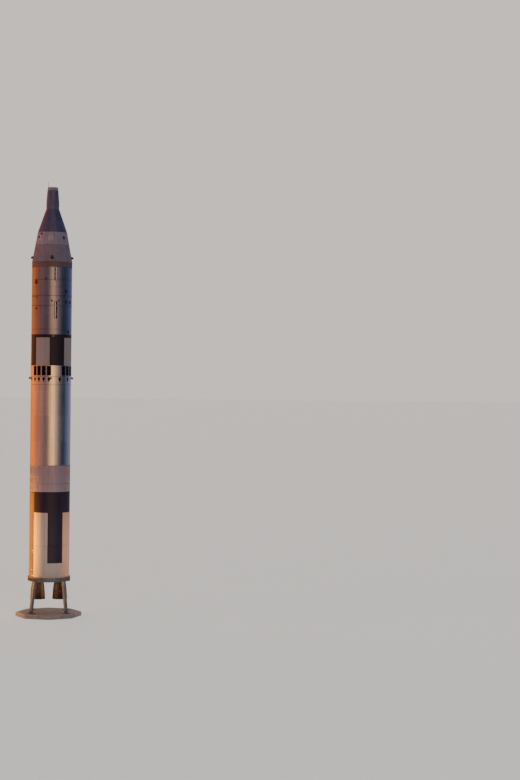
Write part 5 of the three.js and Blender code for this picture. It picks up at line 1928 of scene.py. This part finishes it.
class MakeInterior(bpy.types.Operator):
    """Two padded seats and the instrument panel"""
    bl_idname = "rocket.interior"
    bl_label = "Cabin interior"

    def execute(self, context):
        for name in ("left", "right"):
            self.seat(name)
        self.panel()
        return {"FINISHED"}

    def seat(self, name):
        low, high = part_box(f"seat_{name}")
        x = (low.x + high.x) / 2
        width = high.x - low.x
        length = high.y - low.y
        shell = combined([
            box((width, length - 0.04, 0.03), (x, (low.y + high.y) / 2, low.z + 0.016), 0.006),
            box((width, 0.03, 0.40), (x, low.y + 0.03, low.z + 0.21), 0.006)]
            + [box((0.03, length - 0.10, 0.07), (x + s * (width / 2 - 0.018),
                                               (low.y + high.y) / 2 + 0.03, low.z + 0.06), 0.008)
               for s in (-1, 1)])
        rack = as_object(f"seat_shell_{name}", shell, "panel")
        settled(rack, "rocket", "seat", f"seat_{name}")
        back_length = length - 0.36
        pads = [pad((width - 0.08, back_length, 0.07), (x, low.y + 0.14 + back_length / 2,
                                                        low.z + 0.067), 0.016, 5),
                pad((width - 0.16, 0.20, 0.075), (x, high.y - 0.115, low.z + 0.072), 0.014, 1)]
        lean = pad((width - 0.08, 0.33, 0.07), (0, 0, 0), 0.014, 3)
        moved(rotated(lean, -90, "X"), (x, low.y + 0.085, low.z + 0.245))
        cushion = as_object(f"seat_pads_{name}", pads + [lean], "fabric")
        settled(cushion, "rocket", "seat")
        strap = combined([
            box((0.045, back_length * 0.9, 0.003), (x + s * 0.10, low.y + 0.14 + back_length / 2,
                                                    low.z + 0.122), 0.001) for s in (-1, 1)]
            + [box((width - 0.10, 0.05, 0.003), (x, low.y + 0.26, low.z + 0.126), 0.001),
               box((0.07, 0.06, 0.012), (x, low.y + 0.26, low.z + 0.132), 0.004)])
        settled(as_object(f"seat_straps_{name}", strap, "dial"), "rocket", "seat")

    def panel(self):
        low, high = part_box("instrument_panel")
        middle = (low + high) / 2
        top_z = high.z
        slab = box((high.x - low.x, high.y - low.y, 0.05), (0, middle.y, top_z - 0.035), 0.008)
        post = box((0.15, high.y - low.y - 0.02, top_z - low.z - 0.06),
                   (0, middle.y, (top_z + low.z) / 2 - 0.03), 0.006)
        body = as_object("body", [slab, post], "panel")
        rings, faces, marks = [], [], []
        under = top_z - 0.060
        for x in (-0.34, -0.23, -0.12, 0.12, 0.23, 0.34):
            for y, size in ((-0.09, 0.042), (0.02, 0.048), (0.12, 0.030)):
                at = Vector((x, middle.y + y, under))
                rings.append(bar(at, at + upwards(-0.010), size, 28))
                faces.append(bar(at, at + upwards(-0.0108), size * 0.84, 28))
                for turn in full_turn(12):
                    tick = at + size * 0.72 * Vector((math.cos(turn), math.sin(turn), 0))
                    marks.append(box((0.003, 0.003, 0.001), tick + upwards(-0.0112)))
                marks.append(bar(at + upwards(-0.0115),
                                 at + Vector((size * 0.5, size * 0.3, -0.0115)), 0.0012, 6))
        switches = []
        for x in range(-8, 9):
            if abs(x) < 2:
                continue
            at = Vector((x * 0.047, middle.y - 0.148, under))
            switches.append(bar(at, at + upwards(-0.014), 0.006, 10))
            switches.append(bar(at, at + Vector((0.004, 0, -0.026)), 0.003, 8))
        parts = [body, as_object("rings", rings, "lug"),
                 as_object("faces", faces, "dial"),
                 as_object("marks", marks, "mark"),
                 as_object("switches", switches, "steel")]
        settled(gathered("instrument_panel_dress", parts), "rocket", "panel", "instrument_panel")


# Nose

CAP_R = 0.405
RECOVERY_TOP_R = 0.42
ROD = {"x": -0.325, "y": -0.06, "radius": 0.014}


class MakeNose(bpy.types.Operator):
    """Control section, recovery section and the nose cap with its rod"""
    bl_idname = "rocket.nose"
    bl_label = "Nose"

    def execute(self, context):
        low, high = foot("control_section"), top("control_section")
        groove = 0.005
        profile = [(0, low), (NOSE_R, low + 0.004), (NOSE_R, low + 0.05),
                   (NOSE_R - groove, low + 0.054), (NOSE_R - groove, high - 0.054),
                   (NOSE_R, high - 0.05), (NOSE_R, high - 0.004), (0, high)]
        body = as_object("body", turned(profile, 96), "nose")
        skin = lone(NOSE_R - groove)
        beads_made = repeated("beads", upright_rib(skin, low + 0.08, high - 0.08, 0.016, 0.004),
                              "nose", 48)
        # The holes are near-black plates: painted shade of the openings.
        rims, holes = [], []
        for k in range(8):
            bearing = 22.5 + 45 * k
            for z in (low + 0.16, low + 0.30):
                rims.append(curved_plate(skin, 0.09, rounded(0.09, 0.07, z, 0.02), 0.006, bearing))
                holes.append(curved_plate(skin, 0.065, rounded(0.065, 0.045, z, 0.018), 0.0075,
                                          bearing))
        settled(gathered("control_section_skin", [
            body, beads_made, as_object("rims", rims, "nose"),
            as_object("holes", holes, "dark")]), "rocket", "capsule",
            "control_section")

        low, high = foot("recovery_section"), top("recovery_section")
        taper = lambda z: NOSE_R + (z - low) / (high - low) * (RECOVERY_TOP_R - NOSE_R)
        under = lambda z: taper(z) - 0.004
        profile = [(0, low), (NOSE_R, low + 0.003), *points_on(taper, low + 0.04),
                   *points_on(under, low + 0.043, low + 0.45),
                   *points_on(taper, low + 0.453, low + 0.487),
                   *points_on(under, low + 0.49, high - 0.044), *points_on(taper, high - 0.04),
                   (RECOVERY_TOP_R, high - 0.004), (0, high)]
        body = as_object("body", turned(profile, 96), "nose")
        rows = [repeated("beads", upright_rib(under, a, b, 0.014, 0.004), "nose", 48)
                for a, b in ((low + 0.06, low + 0.44), (low + 0.50, high - 0.06))]
        points = [bearing_point(taper(z), 7.5 * k + 3.75, z) for k in range(48)
                  for z in (low + 0.02, low + 0.47, high - 0.02)]
        screws = scattered("screws", points, head(0.005, 0.003), "nose")
        settled(gathered("recovery_section_skin", [body] + rows + [screws]), "rocket", "capsule",
                "recovery_section")

        low = foot("nose_cap")
        cap_top = low + 0.255
        profile = [(0, low), (CAP_R - 0.012, low), (CAP_R - 0.012, low + 0.018), (CAP_R, low + 0.02),
                   (CAP_R, cap_top - 0.07), (CAP_R - 0.004, cap_top - 0.045),
                   (CAP_R - 0.018, cap_top - 0.022), (CAP_R - 0.05, cap_top - 0.006),
                   (CAP_R - 0.10, cap_top), (0, cap_top)]
        body = as_object("body", turned(profile, 96), "cap")
        # The eight dots are in the near-black opening paint: painted shade.
        dots = [curved_plate(lone(CAP_R), 0.05, rounded(0.05, 0.05, low + 0.09, 0.025), 0.003,
                             22.5 + 45 * k) for k in range(8)]
        points = [bearing_point(CAP_R, 10 * k, low + 0.035) for k in range(36)]
        screws = scattered("screws", points, head(0.005, 0.003), "cap")
        x, y, radius = ROD["x"], ROD["y"], ROD["radius"]
        tip = top("nose_cap")
        rod = combined([bar((x, y, cap_top - 0.01), (x, y, cap_top + 0.03), radius * 2.2, 24),
                        bar((x, y, cap_top), (x, y, tip - 0.02), radius, 20),
                        bar((x, y, tip - 0.02), (x, y, tip), radius, 20, radius * 0.35)])
        settled(gathered("nose_cap_skin", [
            body, as_object("dots", dots, "dark"), screws,
            as_object("rod", rod, "lug")]), "rocket", "cap", "nose_cap")
        return {"FINISHED"}


# Engines

GIMBAL = {"block": 0.130, "pin": 0.034, "hole": 0.039, "ear_from": 0.095, "ear_to": 0.135,
          "ear_half": 0.058, "reach": 0.150}
ARM = {"reach": 0.450, "eye_hole": 0.026, "pin": 0.020, "eye": 0.052, "eye_half": 0.015,
       "cheek_from": 0.026, "cheek_to": 0.042}
ROD_TOP = 0.345
WALL = 0.022
FIRST_BELL = {"outline": [(0.200, 0.150), (0.230, 0.240), (0.330, 0.265), (0.640, 0.265),
                          (0.900, 0.190), (1.060, 0.245), (1.350, 0.350), (1.800, 0.452),
                          (2.350, 0.520), (2.960, 0.556)],
              "throat": 4, "mouth": (3.000, 0.580), "bands": (1.20, 1.55, 1.95, 2.40)}
SECOND_BELL = {"outline": [(0.200, 0.150), (0.230, 0.230), (0.520, 0.240), (0.760, 0.170),
                           (0.900, 0.250), (1.150, 0.420), (1.500, 0.590), (1.820, 0.700),
                           (2.060, 0.755)],
               "throat": 3, "mouth": (2.100, 0.775), "bands": (1.10, 1.35, 1.65)}


def ears(centre, low, high):
    """Two drilled ears that hold a pin along Y."""
    thick = GIMBAL["ear_to"] - GIMBAL["ear_from"]
    middle = (GIMBAL["ear_to"] + GIMBAL["ear_from"]) / 2
    made = [box((2 * GIMBAL["ear_half"], thick, high - low),
                (centre.x, centre.y + side * middle, (low + high) / 2), 0.006) for side in (-1, 1)]
    end = Vector((0, GIMBAL["reach"] + 0.02, 0))
    return carved(as_object("ears", made, "frame"),
                  [bar(centre - end, centre + end, GIMBAL["hole"], 28)])


def fluted(profile, depths, tubes, centre):
    """A wall turned round Z whose outside or inside is a row of tubes. 4 points make a tube."""
    mesh = bmesh.new()
    sides = tubes * 4
    rings = []
    for (radius, z), depth in zip(profile, depths):
        if radius < 1e-6:
            rings.append([mesh.verts.new((0, 0, z))] * sides)
        else:
            rings.append([mesh.verts.new(bearing_point(
                radius - depth * (1 - abs(math.cos(math.pi * k / 4))), 360 * k / sides, z))
                for k in range(sides)])
    for low, high in zip(rings, rings[1:]):
        walled(mesh, low, high, sides)
    return moved(outward(mesh), (centre.x, centre.y, 0))


def bell(centre, shape, tubes, material):
    """A thrust chamber's shell of cooling tubes, with its stiffening bands and its dome."""
    outline, throat = shape["outline"], shape["throat"]
    shift = Vector((centre.x, centre.y, 0))
    down = smoothed(outline[throat - 1:])
    outer = [(radius, centre.z - below) for below, radius in down]
    inner = [(radius - WALL * 1.6, centre.z - below) for below, radius in down
             if below >= outline[throat][0] - 1e-6]
    # From the closed throat down the inside, round the mouth and up the outside
    profile = [(0, inner[0][1])] + inner + outer[::-1] + [(0, outer[0][1] + 0.001)]
    depths = [0.0 if r < 1e-6 else 0.42 * 2 * math.pi * r / tubes for r, _ in profile]
    for i in range(len(inner) + 1):
        depths[i] *= -0.6
    shell = as_object("shell", fluted(profile, depths, tubes, centre), material)

    below, radius = shape["mouth"]
    z = centre.z - below
    profiles = [[(radius - 0.05, z), (radius - 0.004, z), (radius, z + 0.006),
                 (radius, z + 0.034), (radius - 0.004, z + 0.04), (radius - 0.05, z + 0.04)]]
    for below in shape["bands"]:
        z, radius = centre.z - below, radius_on(outline, below)
        profiles.append([(radius - 0.012, z - 0.022), (radius + 0.003, z - 0.022),
                         (radius + 0.003, z - 0.012), (radius + 0.014, z - 0.009),
                         (radius + 0.014, z + 0.009), (radius + 0.003, z + 0.012),
                         (radius + 0.003, z + 0.022), (radius - 0.012, z + 0.022)])
    bands = as_object("bands", combined([
        moved(outward(turned(points, 96, closed=True)), shift) for points in profiles]), material)

    upper = [(radius + 0.006, centre.z - below) for below, radius in outline[:throat][::-1]]
    dome_foot, dome_top = upper[0][1] - 0.01, centre.z - outline[0][0]
    dome = turned([(0, dome_foot), (upper[0][0], dome_foot)] + upper[:-1]
                  + [(outline[0][1], dome_top), (0, dome_top)], 72)
    z, half = centre.z - BELL_FLANGE["below"], BELL_FLANGE["half"]
    near, far = BELL_FLANGE["inner"], BELL_FLANGE["outer"]
    flange = turned([(near, z - half), (far, z - half), (far, z + half), (near, z + half)], 72,
                    closed=True)
    parts = [moved(outward(mesh), shift) for mesh in (dome, flange)]
    ways = [Vector((math.cos(turn), math.sin(turn), 0)) for turn in full_turn(36)]
    below = outline[throat][0] - MANIFOLD["above_throat"]
    radius = radius_on(outline, below) + MANIFOLD["out"]
    line = shift + upwards(centre.z - below)
    parts.append(pipe([line + way * radius for way in ways], MANIFOLD["radius"], 12, True))
    for turn in full_turn(24):
        spot = shift + BELL_FLANGE["bolts"] * Vector((math.cos(turn), math.sin(turn), 0))
        parts.append(bar(spot + upwards(z - 0.032), spot + upwards(z + 0.032),
                         0.009, 6))
    return [shell, bands, as_object("dome", parts, "steel")]


BELL_FLANGE = {"below": 0.36, "inner": 0.24, "outer": 0.292, "bolts": 0.281, "half": 0.02}
MANIFOLD = {"above_throat": 0.14, "out": 0.05, "radius": 0.042}


def radius_on(outline, below):
    """A bell's radius at a distance below the pins."""
    for (b0, r0), (b1, r1) in zip(outline, outline[1:]):
        if b0 <= below <= b1:
            return r0 + (r1 - r0) * (below - b0) / (b1 - b0)
    return outline[-1][1]


def gimbal_cross(name, node, body, centre):
    """A forged block with its two crossed pins."""
    core = 2 * (GIMBAL["ear_from"] - 0.012)
    reach = GIMBAL["reach"]
    pins = []
    for way in (Vector((1, 0, 0)), Vector((0, 1, 0))):
        pins.append(bar(centre - way * reach, centre + way * reach, GIMBAL["pin"], 28))
        for side in (-1, 1):
            end = centre + way * reach * side
            pins.append(bar(end - way * side * 0.012, end, GIMBAL["pin"] * 0.55, 6))
    mesh = combined([box((core, core, 2 * GIMBAL["pin"] + 0.02), centre, 0.012)] + pins)
    settled(as_object(name, mesh, "pump"), body, "engine", node)


def arm(centre, way):
    """The arm from the dome to an actuator's eye, forked round it."""
    way = Vector((*way, 0))
    side = Vector((abs(way.y), abs(way.x), 0))
    end = centre + way * ARM["reach"]
    knee = centre + way * (ARM["reach"] - 0.09) + upwards(-0.07)
    parts = [bar(centre + way * 0.12 + upwards(-0.29), knee, 0.034, 16)]

    def sized(along, across, tall):
        return Vector((along, across, tall)) if way.x else Vector((across, along, tall))

    parts.append(box(sized(0.09, 2 * ARM["cheek_to"], 0.08), knee - way * 0.02
                     + upwards(0.06), 0.006))
    middle = (ARM["cheek_from"] + ARM["cheek_to"]) / 2
    for sign in (-1, 1):
        cheek = end + side * sign * middle - way * 0.06 + upwards(-0.005)
        parts.append(box(sized(0.19, ARM["cheek_to"] - ARM["cheek_from"], 0.07), cheek, 0.004))
        tip = end + side * sign * ARM["cheek_to"]
        parts.append(bar(tip, tip + side * sign * 0.008, ARM["pin"] * 1.5, 6))
    reach = side * ARM["cheek_to"]
    parts.append(bar(end - reach, end + reach, ARM["pin"], 20))
    return parts


def actuator_rod(name, node, body, centre, way):
    """A polished rod with its drilled eye."""
    way = Vector((*way, 0))
    side = Vector((abs(way.y), abs(way.x), 0)) * ARM["eye_half"]
    end = centre + way * ARM["reach"]
    eye = as_object("eye", bar(end - side, end + side, ARM["eye"], 32), "pump")
    carved(eye, [bar(end - side * 4, end + side * 4, ARM["eye_hole"] + 0.002, 28)])
    rod = as_object("rod", combined([
        bar(end + upwards(ARM["eye"] - 0.006), end + upwards(0.09), 0.028, 24),
        bar(end + upwards(0.08), end + upwards(ROD_TOP), 0.022, 24)]), "chrome")
    settled(gathered(name, [eye, rod]), body, "engine", node)


class MakeEngines(bpy.types.Operator):
    """Three thrust chambers with their bells, gimbals and actuator rods"""
    bl_idname = "rocket.engines"
    bl_label = "Engines"

    def execute(self, context):
        tubes = context.scene.rocket_sizes.bell_tubes
        front = (0, -1)
        for name, way in (("left", (1, 0)), ("right", (-1, 0))):
            centre = centre_of(f"gimbal_cross_{name}")
            parts = bell(centre, FIRST_BELL, tubes, "bell")
            parts.append(ears(centre, centre.z - 0.24, centre.z + 0.055))
            parts.append(as_object("arms", arm(centre, way) + arm(centre, front), "frame"))
            settled(gathered(f"thrust_chamber_dress_{name}", parts), f"chamber_{name}", "nozzle",
                    f"thrust_chamber_{name}")
            gimbal_cross(f"gimbal_pins_{name}", f"gimbal_cross_{name}", f"gimbal_{name}", centre)
            for side, turn in (("side", way), ("front", front)):
                actuator_rod(f"{side}_actuator_{name}", f"{side}_rod_{name}", f"{name}_{side}_rod",
                             centre, turn)
        centre = centre_of("stage2_gimbal_cross")
        parts = bell(centre, SECOND_BELL, tubes, "bell_two")
        parts.append(ears(centre, centre.z - 0.24, centre.z + 0.055))
        settled(gathered("stage2_thrust_chamber_dress", parts), "stage2_chamber", "nozzle",
                "stage2_thrust_chamber")
        gimbal_cross("stage2_gimbal_pins", "stage2_gimbal_cross", "stage2_gimbal", centre)
        return {"FINISHED"}


PUMP = {"y": 0.70, "radius": 0.165, "foot": 4.15, "drum": 0.20, "axis": 4.33, "bolts": 0.175,
        "stack_y": 1.01, "stack": 0.095}


class MakeEngineBay(bpy.types.Operator):
    """Pumps, pipes and the engine frame's finish"""
    bl_idname = "rocket.engine_bay"
    bl_label = "Engine bay"

    def execute(self, context):
        for node in ("engine_frame", "stage2_thrust_cone"):
            refinished(node, "frame")
        for name in ("left", "right"):
            self.pump(name)
        self.pipes()
        return {"FINISHED"}

    def pump(self, name):
        x, y, axis, drum = centre_of(f"turbopump_{name}").x, PUMP["y"], PUMP["axis"], PUMP["drum"]
        low, high = foot(f"turbopump_{name}"), top(f"turbopump_{name}")
        parts = [bar((x, y, start), (x, y, end), PUMP["radius"] + more, 40)
                 for start, end, more in ((PUMP["foot"], high, 0), (4.30, 4.36, 0.03),
                                          (4.62, high, 0.03))]
        parts += [bar((x + start, y, axis), (x + end, y, axis), drum + more, 48)
                  for start, end, more in ((-0.19, 0.19, 0), (-0.20, -0.17, 0.02),
                                           (0.17, 0.20, 0.02))]
        parts.append(bar((x, y - 0.33, 4.56), (x, y, 4.56), 0.06, 24))
        for side in (-1, 1):
            for turn in full_turn(12):
                spot = Vector((x + side * 0.20, y + PUMP["bolts"] * math.cos(turn),
                               axis + PUMP["bolts"] * math.sin(turn)))
                parts.append(bar(spot, spot + Vector((side * 0.012, 0, 0)), 0.011, 6))
        casing = as_object("casing", parts, "pump")
        y, radius = PUMP["stack_y"], PUMP["stack"]
        route = curve_points([(x, PUMP["y"], axis), (x, y, 4.10), (x, y, low + 0.03)], 0.14)
        flange = bar((x, y, 3.72), (x, y, 3.76), radius + 0.025, 32)
        stack = as_object("stack", [pipe(route, radius - 0.001, 28), flange], "bell")
        mouth = outward(turned([(radius - 0.012, low), (radius, low), (radius, low + 0.05),
                                (radius - 0.012, low + 0.05)], 32, closed=True))
        # A near-black disc down in the stack's mouth: painted shade inside the pipe.
        hole = bar((x, y, low + 0.025), (x, y, low + 0.029), 0.084, 28)
        settled(gathered(f"turbopump_dress_{name}", [
            casing, stack, as_object("mouth", moved(mouth, (x, y, 0)), "bell"),
            as_object("hole", hole, "dark")]), "rocket", "engine", f"turbopump_{name}")

    def pipes(self):
        """Feed lines along the frame and a harness round the bay."""
        feed = [(0.75, 0.62, 4.66), (0.45, 0.52, 4.62), (0.25, 0.3, 4.62), (0.2, 0.2, 4.95)]
        harness = [(1.30, 0.2, 4.90), (1.30, 0.55, 4.93), (0.9, 0.95, 4.93), (0.3, 1.1, 4.93)]
        parts = [pipe(curve_points([(side * x, y, z) for x, y, z in route], 0.08), radius, sides)
                 for side in (-1, 1) for route, radius, sides in ((feed, 0.045, 16),
                                                                  (harness, 0.022, 12))]
        settled(as_object("feed_lines", parts, "chrome"), "rocket", "engine")


# The panel, registration and the build

OPERATORS = (MakeStudio, MakePlinth, MakeStand, MakeFirstStage, MakeSecondStage, MakeFastenings,
             MakeCovers, MakeAdapter, MakeLugs, MakeCapsule, MakeHatches, MakeInterior, MakeNose,
             MakeEngines, MakeEngineBay)


class MakeFinishes(bpy.types.Operator):
    """All materials of the rocket, from the colours in the sidebar"""
    bl_idname = "rocket.finishes"
    bl_label = "Finishes"

    def execute(self, context):
        make_materials(context.scene.rocket_colours)
        return {"FINISHED"}


class RocketPanel(bpy.types.Panel):
    bl_idname = "VIEW3D_PT_rocket"
    bl_label = "Space rocket"
    bl_space_type = "VIEW_3D"
    bl_region_type = "UI"
    bl_category = "Rocket"

    def draw(self, context):
        layout = self.layout
        for group in (context.scene.rocket_sizes, context.scene.rocket_colours):
            for key in group.bl_rna.properties.keys():
                if key not in ("rna_type", "name"):
                    layout.prop(group, key)
        for operator in (MakeFinishes,) + OPERATORS:
            layout.operator(operator.bl_idname)


CLASSES = (RocketSizes, RocketColours, MakeFinishes) + OPERATORS + (RocketPanel,)


def register():
    for kind in CLASSES:
        bpy.utils.register_class(kind)
    bpy.types.Scene.rocket_sizes = bpy.props.PointerProperty(type=RocketSizes)
    bpy.types.Scene.rocket_colours = bpy.props.PointerProperty(type=RocketColours)


def unregister():
    del bpy.types.Scene.rocket_colours
    del bpy.types.Scene.rocket_sizes
    for kind in reversed(CLASSES):
        bpy.utils.unregister_class(kind)


def main():
    register()
    for operator in (MakeFinishes,) + OPERATORS:
        group, name = operator.bl_idname.split(".")
        getattr(getattr(bpy.ops, group), name)()


if __name__ == "__main__":
    main()
